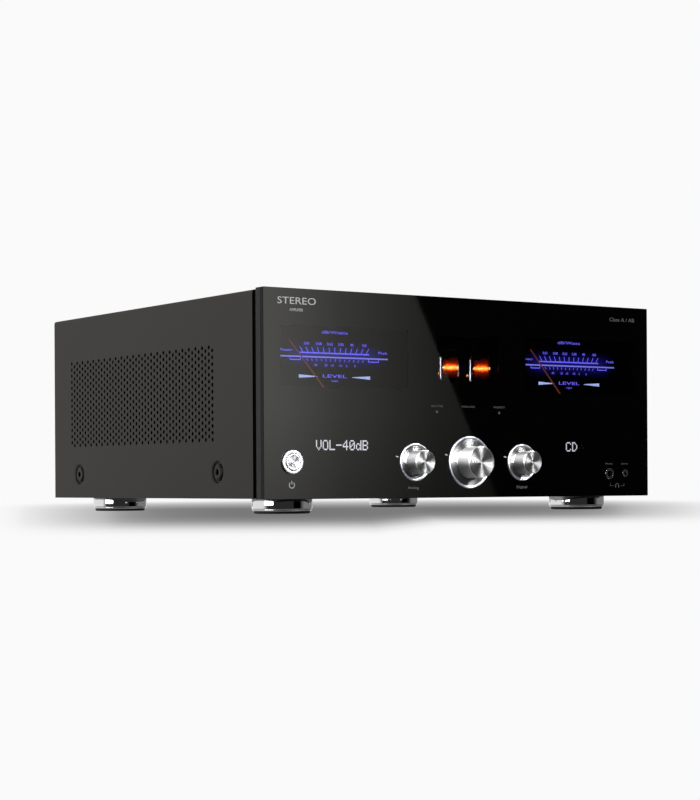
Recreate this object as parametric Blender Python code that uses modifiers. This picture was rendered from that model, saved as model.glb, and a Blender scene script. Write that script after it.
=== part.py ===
"""Integrated amplifier: sheet-steel case, black front with two meters and two valves, three knobs.

Lengths below are in millimetres and become metres in the helper functions. Every part hangs on one
empty, the panel datum: X to the right seen from the front, Y back from the front's face, Z up from
the front panel's lower edge. The datum stands so that the whole object's box is centred on the
origin in X and Y, with its feet on Z = 0.
"""

import math

import bmesh
import bpy
from mathutils import Vector

MM = 0.001
GAP = 0.3

# Front panel
PANEL_W = 430.0
PANEL_H = 178.8
PANEL_DEPTH = 12.4
FASCIA_T = 4.0
PANE_T = 2.2
FRAME_Y = (FASCIA_T + GAP, PANEL_DEPTH)

# Case
SHADOW_GAP = 5.2
CASE_DEPTH = 388.0
CASE_Y = (PANEL_DEPTH + SHADOW_GAP, PANEL_DEPTH + SHADOW_GAP + CASE_DEPTH)
CASE_Z = (0.5, 177.8)
COVER_SHEET = 1.2
CHASSIS_SHEET = 1.5
CHASSIS_HALF_W = 211.1
CHASSIS_FLANGE_TOP = 38.0
REAR_REACH = 25.0

# Feet
FOOT_X = 167.0
FOOT_Y = (49.0, 357.0)
FOOT_R = 26.5
FOOT_H = 10.5
PAD_R = 24.6
PAD_BOTTOM = 12.8

# Cover screws, each in a pressed dish
SCREW_Y = (78.0, 350.0)
SCREW_Z = 23.5
DISH_R = 9.5
DISH_DEPTH = 2.2
SCREW_HEAD_R = 7.4

# Knobs: (name, x, flange radius, body radius, reach in front of the panel)
KNOB_Z = 31.5
KNOBS = (
    ("left_selector", -60.0, 16.75, 10.4, 17.0),
    ("volume", 0.0, 23.4, 14.1, 19.0),
    ("right_selector", 60.0, 16.75, 10.4, 17.0),
)
SHAFT_R = 3.0
SHAFT_BORE_R = 3.08

# Power button
POWER_X = -187.0

# Meters
METER_X = 132.0
METER_WINDOW_HALF_W = 66.0
METER_WINDOW_Z = (95.5, 147.5)
HOUSING_HALF_W = 72.0
HOUSING_Y = (12.7, 42.0)
HOUSING_Z = (72.0, 160.0)
HOUSING_WALL = 1.8
DIAL_Y = (18.0, 18.8)
PIVOT_Z = 81.5
NEEDLE_Y = 16.0
NEEDLE_LENGTH = 73.0
NEEDLE_REST_DEG = -41.0

# Valves
TUBE_WINDOW_HALF_W = 34.5
TUBE_WINDOW_Z = (102.6, 144.5)
TUBE_X = (-14.5, 20.5)
TUBE_Y = 13.6
TUBE_BASE_Z = 103.9
TUBE_BOARD_Z = (92.0, 93.6)
SOCKET_R = 9.2
TUBE_BAY_X = (-47.0, 47.0)
TUBE_BAY_Z = (89.5, 157.0)

# Displays: centre x of each, and the opening's half width and height
DISPLAYS = (("display_left", -136.2), ("display_right", 140.0))
DISPLAY_HALF_W = 32.0
DISPLAY_Z = (38.2, 54.2)

# Headphone sockets: (name, x, z, flange radius, barrel radius, bore radius, barrel depth)
JACKS = (
    ("headphone_jack_large", 166.0, 21.0, 5.1, 4.3, 3.2, 34.0),
    ("headphone_jack_small", 185.5, 21.5, 3.4, 2.8, 1.8, 18.0),
)

# Front electronics
BOARD_Y = (20.2, 21.8)
BOARD_Z = (6.0, 66.0)
ENCODER_FRONT = 13.4

# Rear
INLET_X = -155.0
INLET_Z = 30.0
ROCKER_X = -141.5
ROCKER_PIVOT_Y = 402.5
ROCKER_TILT_DEG = 8.0
POST_X = (-48.0, -20.0, 20.0, 48.0)
POST_Z = 35.0
POST_CAP_R = 8.0
POST_CAP_START = 7.4
RCA_X = (101.0, 125.0, 149.0, 173.0)
RCA_Z = (80.0, 100.0)

BODY_DEPTH = CASE_Y[1] + REAR_REACH
KNOB_REACH = max(knob[4] for knob in KNOBS)
DATUM_Y = KNOB_REACH - (BODY_DEPTH + KNOB_REACH) / 2

TURN_TO = {
    "front": (math.radians(90), 0, 0),
    "back": (math.radians(-90), 0, 0),
    "up": (0, 0, 0),
    "left": (0, math.radians(-90), 0),
    "right": (0, math.radians(90), 0),
}


def clear_scene():
    for obj in list(bpy.data.objects):
        bpy.data.objects.remove(obj, do_unlink=True)


def collection(name):
    found = bpy.data.collections.new(name)
    bpy.context.scene.collection.children.link(found)
    return found


def material(name, colour, roughness, metallic=0.0, alpha=1.0):
    """A Principled material with the part's own colour."""
    mat = bpy.data.materials.new(name)
    mat.use_nodes = True
    shader = mat.node_tree.nodes["Principled BSDF"]
    shader.inputs["Base Color"].default_value = (*colour, 1.0)
    shader.inputs["Roughness"].default_value = roughness
    shader.inputs["Metallic"].default_value = metallic
    shader.inputs["Alpha"].default_value = alpha
    return mat


def place(name, mesh, mat, location=(0, 0, 0), rotation=(0, 0, 0), parent=None):
    """Puts a mesh or curve in the amplifier's collection, on the panel datum."""
    obj = bpy.data.objects.new(name, mesh)
    PARTS.objects.link(obj)
    obj.parent = parent or DATUM
    obj.location = Vector(location) * MM
    obj.rotation_euler = rotation
    if mat is not None:
        mesh.materials.append(mat)
    return obj


def bevel(obj, width, segments=1):
    mod = obj.modifiers.new("edges", "BEVEL")
    mod.width = width * MM
    mod.segments = segments
    mod.limit_method = "ANGLE"
    return obj


def solidify(obj, thickness):
    mod = obj.modifiers.new("sheet", "SOLIDIFY")
    mod.thickness = thickness * MM
    mod.offset = -1.0
    mod.use_even_offset = True
    return obj


def box(name, xs, ys, zs, mat=None, without=()):
    """A box between limits in x, y and z. Faces named in without, by direction, are left open."""
    size = Vector((xs[1] - xs[0], ys[1] - ys[0], zs[1] - zs[0]))
    mesh = bpy.data.meshes.new(name)
    bm = bmesh.new()
    bmesh.ops.create_cube(bm, size=1.0)
    bmesh.ops.scale(bm, vec=size * MM, verts=bm.verts)
    directions = {"top": (0, 0, 1), "bottom": (0, 0, -1), "front": (0, -1, 0), "back": (0, 1, 0)}
    bm.normal_update()
    for word in without:
        open_faces = [f for f in bm.faces if f.normal.dot(Vector(directions[word])) > 0.9]
        bmesh.ops.delete(bm, geom=open_faces, context="FACES_ONLY")
    bm.to_mesh(mesh)
    bm.free()
    centre = ((xs[0] + xs[1]) / 2, (ys[0] + ys[1]) / 2, (zs[0] + zs[1]) / 2)
    return place(name, mesh, mat, centre)


def turned(name, profile, location, facing, mat=None, segments=24, ring=False, parent=None):
    """A turned solid. Profile points are (radius, height), running down the outer side.

    Height points along facing. A ring's profile is closed, any other starts and ends on the axis.
    """
    mesh = bpy.data.meshes.new(name)
    count = len(profile)
    edges = [(i, i + 1) for i in range(count - 1)]
    if ring:
        edges.append((count - 1, 0))
    mesh.from_pydata([(r * MM, 0.0, h * MM) for r, h in profile], edges, [])
    obj = place(name, mesh, mat, location, TURN_TO[facing], parent)
    mod = obj.modifiers.new("turn", "SCREW")
    mod.axis = "Z"
    mod.angle = math.radians(360)
    mod.steps = segments
    mod.render_steps = segments
    mod.use_merge_vertices = True
    mod.merge_threshold = 0.00001
    mod.use_smooth_shade = True
    return obj


def cylinder(name, radius, start, end, location, facing, mat=None, segments=24):
    """A plain cylinder from height start to height end along facing."""
    mesh = bpy.data.meshes.new(name)
    bm = bmesh.new()
    bmesh.ops.create_cone(
        bm, cap_ends=True, segments=segments,
        radius1=radius * MM, radius2=radius * MM, depth=(end - start) * MM,
    )
    bmesh.ops.translate(bm, vec=(0, 0, (start + end) / 2 * MM), verts=bm.verts)
    bm.to_mesh(mesh)
    bm.free()
    return place(name, mesh, mat, location, TURN_TO[facing])


def plate_curve(name, points, thickness, location, rotation, mat, parent=None):
    """A flat outline, given by its corner points, with a thickness across its plane."""
    curve = bpy.data.curves.new(name, "CURVE")
    curve.dimensions = "2D"
    curve.fill_mode = "BOTH"
    curve.extrude = thickness / 2 * MM
    spline = curve.splines.new("POLY")
    spline.points.add(len(points) - 1)
    for point, (x, y) in zip(spline.points, points):
        point.co = (x * MM, y * MM, 0.0, 1.0)
    spline.use_cyclic_u = True
    return place(name, curve, mat, location, rotation, parent)


def combine(target, tool, operation):
    """Cuts or joins a tool, which then shows only as wire."""
    PARTS.objects.unlink(tool)
    TOOLS.objects.link(tool)
    tool.hide_render = True
    tool.display_type = "WIRE"
    mod = target.modifiers.new(tool.name, "BOOLEAN")
    mod.operation = operation
    mod.object = tool
    mod.solver = "EXACT"
    return target


def cut(target, tool):
    return combine(target, tool, "DIFFERENCE")


def join(target, tool):
    return combine(target, tool, "UNION")


def window_limits(centre, half_width, margin=0.0):
    return (centre - half_width - margin, centre + half_width + margin)


def grown(limits, margin):
    return (limits[0] - margin, limits[1] + margin)


def cut_front_openings(target, word, through, margin, hole_radii):
    """Cuts the windows and holes that the fascia and the frame behind it share."""
    for side, x in (("left", -METER_X), ("right", METER_X)):
        xs = window_limits(x, METER_WINDOW_HALF_W, margin)
        cut(target, box(f"cut_{word}_meter_{side}", xs, through, grown(METER_WINDOW_Z, margin)))
    for name, x in DISPLAYS:
        xs = window_limits(x, DISPLAY_HALF_W, margin / 2)
        cut(target, box(f"cut_{word}_{name}", xs, through, grown(DISPLAY_Z, margin / 2)))
    depth = (-through[1], -through[0])
    for name, x, *_ in KNOBS:
        at = (x, 0, KNOB_Z)
        cut(target, cylinder(f"cut_{word}_{name}", hole_radii["knob"], *depth, at, "front", segments=16))
    at = (POWER_X, 0, KNOB_Z)
    cut(target, cylinder(f"cut_{word}_power", hole_radii["power"], *depth, at, "front"))
    for name, x, z, _, barrel, *_ in JACKS:
        hole_r = barrel + hole_radii["jack"]
        cut(target, cylinder(f"cut_{word}_{name}", hole_r, *depth, (x, 0, z), "front", segments=16))


def make_front():
    gloss = material("gloss_black", (0.006, 0.006, 0.007), 0.06)
    anodised = material("anodised_black", (0.045, 0.045, 0.043), 0.38, 0.6)
    smoked = material("smoked_pane", (0.02, 0.02, 0.022), 0.05, alpha=0.35)
    span = (-PANEL_W / 2, PANEL_W / 2)
    height = (0.0, PANEL_H)

    fascia = bevel(box("fascia", span, (0.0, FASCIA_T), height, gloss), 0.3)
    cut_front_openings(fascia, "fascia", (-1.0, FASCIA_T + 1), 0.0,
                       {"knob": 4.2, "power": 9.3, "jack": 0.3})
    tube_xs = window_limits(0, TUBE_WINDOW_HALF_W)
    cut(fascia, box("cut_fascia_tubes", tube_xs, (-1.0, FASCIA_T + 1), TUBE_WINDOW_Z))

    frame = bevel(box("front_frame", span, FRAME_Y, height, anodised), 0.4)
    through = grown(FRAME_Y, 1)
    cut_front_openings(frame, "frame", through, 2.0, {"knob": 4.5, "power": 9.6, "jack": 0.6})
    cut(frame, box("cut_frame_tubes", TUBE_BAY_X, through, TUBE_BAY_Z))

    pane_y = (0.0, PANE_T)
    for side, x in (("left", -METER_X), ("right", METER_X)):
        xs = window_limits(x, METER_WINDOW_HALF_W, -GAP)
        box(f"meter_window_{side}", xs, pane_y, grown(METER_WINDOW_Z, -GAP), smoked)
    xs = window_limits(0, TUBE_WINDOW_HALF_W, -GAP)
    box("tube_window", xs, pane_y, grown(TUBE_WINDOW_Z, -GAP), smoked)

    screen = material("display_glass", (0.01, 0.01, 0.012), 0.12)
    for name, x in DISPLAYS:
        xs = window_limits(x, DISPLAY_HALF_W, -GAP)
        box(name, xs, (0.0, FRAME_Y[1] - 0.4), grown(DISPLAY_Z, -GAP), screen)


def make_bulkhead():
    """The black plate that closes the case in front, with the collar that carries the panel."""
    black = material("matt_black_steel", (0.012, 0.012, 0.012), 0.6)
    inner = PANEL_W / 2 - COVER_SHEET - GAP
    plate_y = (CASE_Y[0] + GAP, CASE_Y[0] + GAP + 1.5)
    plate_z = (CASE_Z[0] + GAP, CASE_Z[1] - COVER_SHEET - GAP)
    plate = box("front_bulkhead", (-inner, inner), plate_y, plate_z, black)
    collar_y = (FRAME_Y[1] + GAP, plate_y[0] + 0.6)
    collar_xs, collar_zs = (-210.5, 210.5), (4.5, 174.5)
    collar = box("tool_bulkhead_collar", collar_xs, collar_y, collar_zs)
    wall = 4.0
    hole = grown(collar_xs, -wall), grown(collar_y, 1), grown(collar_zs, -wall)
    cut(collar, box("cut_bulkhead_collar", *hole))
    join(plate, collar)
    through = grown(plate_y, 1)
    for side, x in (("left", -METER_X), ("right", METER_X)):
        xs = window_limits(x, HOUSING_HALF_W, 0.5)
        cut(plate, box(f"cut_bulkhead_meter_{side}", xs, through, grown(HOUSING_Z, 0.5)))
    cut(plate, box("cut_bulkhead_tubes", grown(TUBE_BAY_X, 0.5), through, TUBE_BAY_Z))
    controls_xs, controls_zs = (-200, 200), (12, 58)
    cut(plate, box("cut_bulkhead_controls", controls_xs, through, controls_zs))


def make_case():
    painted = material("painted_steel_dark", (0.058, 0.052, 0.048), 0.45, 0.2)
    zinc = material("zinc_plated_steel", (0.42, 0.42, 0.41), 0.4, 0.9)
    half = PANEL_W / 2
    cover = box("top_cover", (-half, half), CASE_Y, CASE_Z, painted, ("bottom", "front", "back"))
    bevel(cover, 2.0, 3)
    solidify(cover, COVER_SHEET)
    chassis = box(
        "bottom_chassis", (-CHASSIS_HALF_W, CHASSIS_HALF_W), (CASE_Y[0] + 2.1, CASE_Y[1] - 1.8),
        (CASE_Z[0], CHASSIS_FLANGE_TOP), zinc, ("top", "front", "back"),
    )
    solidify(chassis, CHASSIS_SHEET)
    black = material("black_oxide_steel", (0.018, 0.018, 0.018), 0.35, 0.8)
    for side, sign in (("left", -1), ("right", 1)):
        for row, y in zip(("front", "rear"), SCREW_Y):
            at = (sign * half, y, SCREW_Z)
            where = f"{row}_{side}"
            join(cover, cylinder(f"tool_dish_{where}", DISH_R + 1.7, -3.6, -0.5, at, side, segments=20))
            cut(cover, cylinder(f"cut_dish_{where}", DISH_R, -DISH_DEPTH, 1.0, at, side, segments=20))
            cut(cover, cylinder(f"cut_dish_hole_{where}", 2.2, -5, 1, at, side, segments=12))
            cut(chassis, cylinder(f"cut_flange_{where}", 2.2, -8, 1, at, side, segments=12))
            make_cover_screw(where, at, side, black)


def make_cover_screw(where, at, side, mat):
    top = -0.1
    under = -(DISH_DEPTH - GAP)
    profile = [
        (0, top), (SCREW_HEAD_R - 2.2, top), (SCREW_HEAD_R - 0.5, top - 0.5),
        (SCREW_HEAD_R, top - 1.1), (SCREW_HEAD_R, under), (1.9, under), (1.9, -10), (0, -10),
    ]
    screw = turned(f"cover_screw_{where}", profile, at, side, mat, segments=16)
    cut(screw, cylinder(f"cut_hex_{where}", 2.6, -1.4, 1, at, side, segments=6))


def make_feet():
    chrome = material("chrome", (0.8, 0.8, 0.8), 0.1, 1.0)
    rubber = material("rubber_black", (0.012, 0.012, 0.012), 0.8)
    top = CASE_Z[0] - GAP
    recess = -FOOT_H + 3.0
    shell = [
        (0, top), (FOOT_R - 0.4, top), (FOOT_R, top - 0.4), (FOOT_R, -FOOT_H + 0.9),
        (FOOT_R - 0.9, -FOOT_H), (PAD_R + GAP, -FOOT_H), (PAD_R + GAP, recess), (0, recess),
    ]
    pad_top = recess - GAP
    pad = [
        (0, pad_top), (PAD_R, pad_top), (PAD_R, -PAD_BOTTOM + 1.0),
        (PAD_R - 0.3, -PAD_BOTTOM + 0.3), (PAD_R - 1.0, -PAD_BOTTOM), (0, -PAD_BOTTOM),
    ]
    for row, y in zip(("front", "rear"), FOOT_Y):
        for side, x in (("left", -FOOT_X), ("right", FOOT_X)):
            turned(f"foot_shell_{row}_{side}", shell, (x, y, 0), "up", chrome, 28)
            turned(f"foot_pad_{row}_{side}", pad, (x, y, 0), "up", rubber, 28)


def make_knobs():
    metal = material("turned_aluminium", (0.78, 0.78, 0.78), 0.22, 1.0)
    steel = material("shaft_steel", (0.6, 0.6, 0.6), 0.3, 1.0)
    for name, x, flange, body, reach in KNOBS:
        bore_end = reach - 6
        profile = [
            (0, reach), (body - 0.8, reach), (body, reach - 0.8), (body, 3.6),
            (flange - 3.0, 3.6), (flange - 1.0, 4.4), (flange, 3.4), (flange, 0.9),
            (flange - 0.5, 0.4), (SHAFT_R + GAP, 0.4), (SHAFT_R + GAP, bore_end), (0, bore_end),
        ]
        turned(f"{name}_knob", profile, (x, 0, KNOB_Z), "front", metal, 28)
        shaft = [(0, bore_end - GAP), (SHAFT_R, bore_end - GAP), (SHAFT_R, -19.6), (0, -19.6)]
        turned(f"{name}_shaft", shaft, (x, 0, KNOB_Z), "front", steel, 16)


def make_power_button():
    metal = material("satin_aluminium", (0.75, 0.75, 0.76), 0.25, 1.0)
    at = (POWER_X, 0, KNOB_Z)
    bezel = [(7.6, 2.2), (9.8, 2.2), (10.5, 1.5), (10.5, GAP), (9.0, GAP), (9.0, -8), (7.6, -8)]
    turned("power_bezel", bezel, at, "front", metal, ring=True)
    button = [
        (0, 3.0), (6.7, 3.0), (7.25, 2.5), (7.25, -7.0), (2.0, -7.0), (2.0, -13.0), (0, -13.0),
    ]
    turned("power_button", button, at, "front", metal)


def make_jacks():
    nickel = material("nickel_plate", (0.62, 0.6, 0.56), 0.25, 1.0)
    for name, x, z, flange, barrel, bore, depth in JACKS:
        profile = [
            (0, -depth + 2.5), (bore, -depth + 2.5), (bore, 1.0), (flange - 0.4, 1.0),
            (flange, 0.7), (flange, GAP), (barrel, GAP), (barrel, -depth), (0, -depth),
        ]
        turned(name, profile, (x, 0, z), "front", nickel, 16)


def make_control_board():
    """The board behind the front, with three encoder bodies and the power switch on it."""
    green = material("circuit_board_green", (0.02, 0.09, 0.035), 0.5)
    board = box("front_control_board", (-203, 203), BOARD_Y, BOARD_Z, green)
    rear = BOARD_Y[0] + 0.8
    for name, x, *_ in KNOBS:
        limits = (x - 6.5, x + 6.5), (ENCODER_FRONT, rear), (KNOB_Z - 6.5, KNOB_Z + 6.5)
        join(board, box(f"tool_encoder_{name}", *limits))
        at = (x, 0, KNOB_Z)
        cut(board, cylinder(f"cut_encoder_{name}", SHAFT_BORE_R, -20, 0, at, "front", segments=16))
    limits = (POWER_X - 3, POWER_X + 3), (14.5, rear), (KNOB_Z - 3, KNOB_Z + 3)
    join(board, box("tool_power_switch", *limits))
    name, x, z, _, barrel, *_ = JACKS[0]
    cut(board, cylinder(f"cut_board_{name}", barrel + 0.7, -30, -10, (x, 0, z), "front"))


def make_meters():
    case = material("meter_case_black", (0.02, 0.02, 0.02), 0.5)
    paint = material("meter_dial_black", (0.008, 0.008, 0.012), 0.55)
    steel = material("movement_steel", (0.4, 0.4, 0.4), 0.4, 0.9)
    red = material("needle_red", (0.55, 0.06, 0.03), 0.5)
    inside = HOUSING_HALF_W - HOUSING_WALL
    for side, x in (("left", -METER_X), ("right", METER_X)):
        xs = window_limits(x, HOUSING_HALF_W)
        solidify(box(f"meter_{side}_housing", xs, HOUSING_Y, HOUSING_Z, case, ("front",)), HOUSING_WALL)
        dial_xs = window_limits(x, inside, -0.4)
        dial_z = (PIVOT_Z + 10.5, HOUSING_Z[1] - HOUSING_WALL - 0.4)
        box(f"meter_{side}_dial", dial_xs, DIAL_Y, dial_z, paint)
        movement = [
            (0, -28), (0.9, -28), (0.9, -20), (5.2, -20), (6.8, -22), (6.8, -39.8), (0, -39.8),
        ]
        turned(f"meter_{side}_movement", movement, (x, 0, PIVOT_Z), "front", steel, 16)
        make_needle(side, x, red)


def make_needle(side, x, mat):
    """A thin tapered arm with a short tail, a hub and the spindle that it turns on."""
    name = f"meter_{side}_needle"
    mesh = bpy.data.meshes.new(name)
    bm = bmesh.new()
    bmesh.ops.create_cube(bm, size=1.0)
    tail = 6.0
    length = NEEDLE_LENGTH + tail
    bmesh.ops.scale(bm, vec=Vector((1.6, 0.6, length)) * MM, verts=bm.verts)
    bmesh.ops.translate(bm, vec=(0, 0, (length / 2 - tail) * MM), verts=bm.verts)
    tip = [v for v in bm.verts if v.co.z > 0]
    bmesh.ops.scale(bm, vec=(0.4, 1, 1), verts=tip)
    bm.to_mesh(mesh)
    bm.free()
    lean = math.radians(NEEDLE_REST_DEG)
    arm = place(name, mesh, mat, (x, NEEDLE_Y, PIVOT_Z), (0, lean, 0))
    hub = [(0, 0.9), (2.6, 0.9), (2.6, -0.9), (0.8, -0.9), (0.8, -11), (0, -11)]
    join(arm, turned(f"tool_{name}_hub", hub, (x, NEEDLE_Y, PIVOT_Z), "front", segments=16))


def make_tubes():
    glass = material("valve_glass", (0.75, 0.72, 0.68), 0.05, alpha=0.4)
    bulb = [
        (0, 45.3), (1.0, 44.8), (1.5, 43.0), (5.4, 41.0), (8.6, 38.2), (10.3, 35.0),
        (10.9, 31.0), (10.9, 2.6), (10.3, 0.9), (9.4, 0), (0, 0),
    ]
    for side, x in zip(("left", "right"), TUBE_X):
        turned(f"tube_{side}", bulb, (x, TUBE_Y, TUBE_BASE_Z), "up", glass)
    green = material("valve_board", (0.02, 0.07, 0.03), 0.5)
    board = box("tube_socket_board", (-45, 45), (5, 60), TUBE_BOARD_Z, green)
    for side, x in zip(("left", "right"), TUBE_X):
        at = (x, TUBE_Y, TUBE_BOARD_Z[0])
        height = TUBE_BASE_Z - GAP - TUBE_BOARD_Z[0]
        join(board, cylinder(f"tool_socket_{side}", SOCKET_R, 0.8, height, at, "up"))


def make_inside():
    """The parts that fill the case: transformer, heat sinks, capacitors and the main board."""
    floor = CASE_Z[0] + CHASSIS_SHEET + GAP
    winding = material("transformer_winding", (0.32, 0.1, 0.03), 0.45)
    ring = [(24, 58), (48, 60), (58, 57), (64, 50), (64, 10), (58, 3), (48, 0), (24, 2)]
    turned("transformer", ring, (0, 125, floor), "up", winding, 28, ring=True)

    fins = material("heatsink_aluminium", (0.5, 0.5, 0.5), 0.35, 1.0)
    count, pitch, length, base, fin = 14, 18.0, 34.0, 6.0, 4.0
    outline = [(0, 0), (base, 0)]
    for i in range(count):
        start = 4 + i * pitch
        outline += [(base, start), (length, start), (length, start + fin), (base, start + fin)]
    outline += [(base, 8 + (count - 1) * pitch + fin), (0, 8 + (count - 1) * pitch + fin)]
    height = 130.0
    for side, sign in (("left", -1), ("right", 1)):
        points = [(sign * (168 + x), y) for x, y in outline]
        at = (0, 96, floor + height / 2)
        plate_curve(f"heatsink_{side}", points, height, at, (0, 0, 0), fins)

    green = material("main_board_green", (0.02, 0.09, 0.035), 0.5)
    board_z = (12.0, 13.6)
    box("main_board", (-155, 155), (200, 378), board_z, green)
    sleeve = material("capacitor_sleeve", (0.02, 0.02, 0.03), 0.4)
    can = [(0, 78), (23, 78), (25, 76.5), (25, 1), (24, 0), (0, 0)]
    for side, x in (("left", -45), ("right", 45)):
        turned(f"capacitor_{side}", can, (x, 240, board_z[1] + GAP), "up", sleeve)


def make_rear():
    face = CASE_Y[1]
    inner = PANEL_W / 2 - COVER_SHEET - GAP
    painted = material("painted_steel_black", (0.02, 0.02, 0.02), 0.5)
    plate_z = (CASE_Z[0] + GAP, CASE_Z[1] - COVER_SHEET - GAP)
    plate = box("rear_panel", (-inner, inner), (face - 1.5, face), plate_z, painted)
    through = (face - 3, face + 2)
    plastic = material("socket_plastic", (0.015, 0.015, 0.015), 0.45)

    inlet_body = (INLET_X - 27, INLET_X + 23), (385, face + 1), (INLET_Z - 13, INLET_Z + 13)
    flange_limits = (INLET_X - 30, INLET_X + 26), (face + GAP, face + 2.3), (INLET_Z - 15, INLET_Z + 15)
    inlet = box("mains_inlet", *flange_limits, plastic)
    join(inlet, box("tool_inlet_body", *inlet_body))
    recess = (INLET_X - 25, INLET_X), (392, face + 4), (INLET_Z - 8.25, INLET_Z + 8.25)
    cut(inlet, box("cut_inlet_recess", *recess))
    rocker_xs = (ROCKER_X - 7, ROCKER_X + 7)
    cut(inlet, box("cut_rocker_recess", rocker_xs, (396, face + 4), (INLET_Z - 10.6, INLET_Z + 10.6)))
    cut(plate, box("cut_panel_inlet", grown(inlet_body[0], GAP), through, grown(inlet_body[2], GAP)))
    make_rocker(plastic)

    posts = box("speaker_terminal_plate", (-66, 66), (face + GAP, face + 2.5), (18, 52), plastic)
    body = (-62, 62), (face - 8, face + 1), (22, 48)
    join(posts, box("tool_terminal_body", *body))
    cut(plate, box("cut_panel_terminals", grown(body[0], GAP), through, grown(body[2], GAP)))
    brass = material("plated_brass", (0.75, 0.55, 0.25), 0.25, 1.0)
    for number, x in enumerate(POST_X, 1):
        at = (x, face, POST_Z)
        stud = [(0, 22), (3.0, 22), (3.0, 7), (6.4, 7), (6.4, 1.2), (0, 1.2)]
        join(posts, turned(f"tool_post_{number}", stud, at, "back", segments=16))
        end = REAR_REACH
        cap = [
            (0, end), (POST_CAP_R - 0.8, end), (POST_CAP_R, end - 0.8),
            (POST_CAP_R, POST_CAP_START + 0.6), (POST_CAP_R - 0.6, POST_CAP_START),
            (3.3, POST_CAP_START), (3.3, 22.4), (0, 22.4),
        ]
        turned(f"speaker_terminal_cap_{number}", cap, at, "back", brass, 20)

    xs = (RCA_X[0] - 13, RCA_X[-1] + 13)
    zs = (RCA_Z[0] - 11, RCA_Z[1] + 11)
    sockets = box("rca_block", xs, (face + GAP, face + 2.0), zs, plastic)
    body = grown(xs, -3), (face - 10, face + 1), grown(zs, -3)
    join(sockets, box("tool_rca_body", *body))
    cut(plate, box("cut_panel_rca", grown(body[0], GAP), through, grown(body[2], GAP)))
    for row, z in enumerate(RCA_Z, 1):
        for column, x in enumerate(RCA_X, 1):
            barrel = [(0, 1), (1.7, 1), (1.7, 10), (4.1, 10), (4.1, 1.2), (0, 0.6)]
            tool = turned(f"tool_rca_{row}_{column}", barrel, (x, face, z), "back", segments=12)
            join(sockets, tool)

    digital = box("digital_block", (-62, 22), (face + GAP, face + 2.0), (82, 106), plastic)
    body = (-59, 19), (face - 14, face + 1), (85, 103)
    join(digital, box("tool_digital_body", *body))
    cut(digital, box("cut_usb_socket", (-52, -43.4), (face - 10, face + 4), (90, 97.8)))
    cut(digital, box("cut_optical_socket", (-30, -21.8), (face - 8, face + 4), (90, 98)))
    cut(plate, box("cut_panel_digital", grown(body[0], GAP), through, grown(body[2], GAP)))


def make_rocker(mat):
    """The mains switch's rocker, shown switched on, on an empty at its pivot."""
    pivot = bpy.data.objects.new("rocker_pivot", None)
    PARTS.objects.link(pivot)
    pivot.parent = DATUM
    pivot.location = Vector((ROCKER_X, ROCKER_PIVOT_Y, INLET_Z)) * MM
    pivot.rotation_euler = (math.radians(ROCKER_TILT_DEG), 0, 0)
    outline = [(-8.4, -2.5), (8.4, -2.5), (9.0, 6.2), (0, 4.0), (-9.0, 6.2)]
    plate_curve("mains_rocker", outline, 13.2, (0, 0, 0), TURN_TO["left"], mat, parent=pivot)


clear_scene()
PARTS = collection("integrated_amplifier")
TOOLS = collection("cutters")
DATUM = bpy.data.objects.new("panel_datum", None)
PARTS.objects.link(DATUM)
DATUM.location = Vector((0, DATUM_Y, PAD_BOTTOM)) * MM

make_front()
make_bulkhead()
make_case()
make_feet()
make_knobs()
make_power_button()
make_jacks()
make_control_board()
make_meters()
make_tubes()
make_inside()
make_rear()
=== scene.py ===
import math

import bmesh
import bpy
from mathutils import Matrix, Vector


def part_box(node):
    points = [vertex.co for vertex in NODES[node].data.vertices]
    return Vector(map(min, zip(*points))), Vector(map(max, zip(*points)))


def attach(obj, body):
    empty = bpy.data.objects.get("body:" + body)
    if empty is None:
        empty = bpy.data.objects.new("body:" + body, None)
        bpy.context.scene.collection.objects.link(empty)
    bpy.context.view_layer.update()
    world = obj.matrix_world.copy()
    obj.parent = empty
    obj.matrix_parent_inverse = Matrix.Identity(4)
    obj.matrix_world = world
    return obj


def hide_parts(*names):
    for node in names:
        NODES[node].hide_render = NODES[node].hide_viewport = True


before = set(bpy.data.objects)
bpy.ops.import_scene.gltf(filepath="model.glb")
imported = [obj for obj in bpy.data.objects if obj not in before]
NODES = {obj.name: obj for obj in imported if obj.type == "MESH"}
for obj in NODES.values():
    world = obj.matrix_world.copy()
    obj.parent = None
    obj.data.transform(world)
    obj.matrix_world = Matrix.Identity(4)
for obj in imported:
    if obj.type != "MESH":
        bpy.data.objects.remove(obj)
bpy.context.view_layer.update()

MM = 0.001
FASCIA_LOW, FASCIA_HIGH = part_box("fascia")
PANEL = Vector((0.0, FASCIA_LOW.y, FASCIA_LOW.z))
HALF_W = FASCIA_HIGH.x / MM
PANEL_H = (FASCIA_HIGH.z - FASCIA_LOW.z) / MM
REAR = (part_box("rear_panel")[1].y - PANEL.y) / MM
PI = math.pi
TINY = 1e-6


def panel(x, y, z):
    """A point given in millimetres from the middle of the front's lower edge, in the row frame."""
    return PANEL + Vector((x, y, z)) * MM


# ---------------------------------------------------------------- materials

SOCKETS = {
    "base": "Base Color", "rough": "Roughness", "metal": "Metallic", "ior": "IOR",
    "trans": "Transmission Weight", "coat": "Coat Weight", "aniso": "Anisotropic",
    "turn": "Anisotropic Rotation", "spec": "Specular IOR Level",
    "glow": "Emission Color", "power": "Emission Strength",
}


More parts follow.
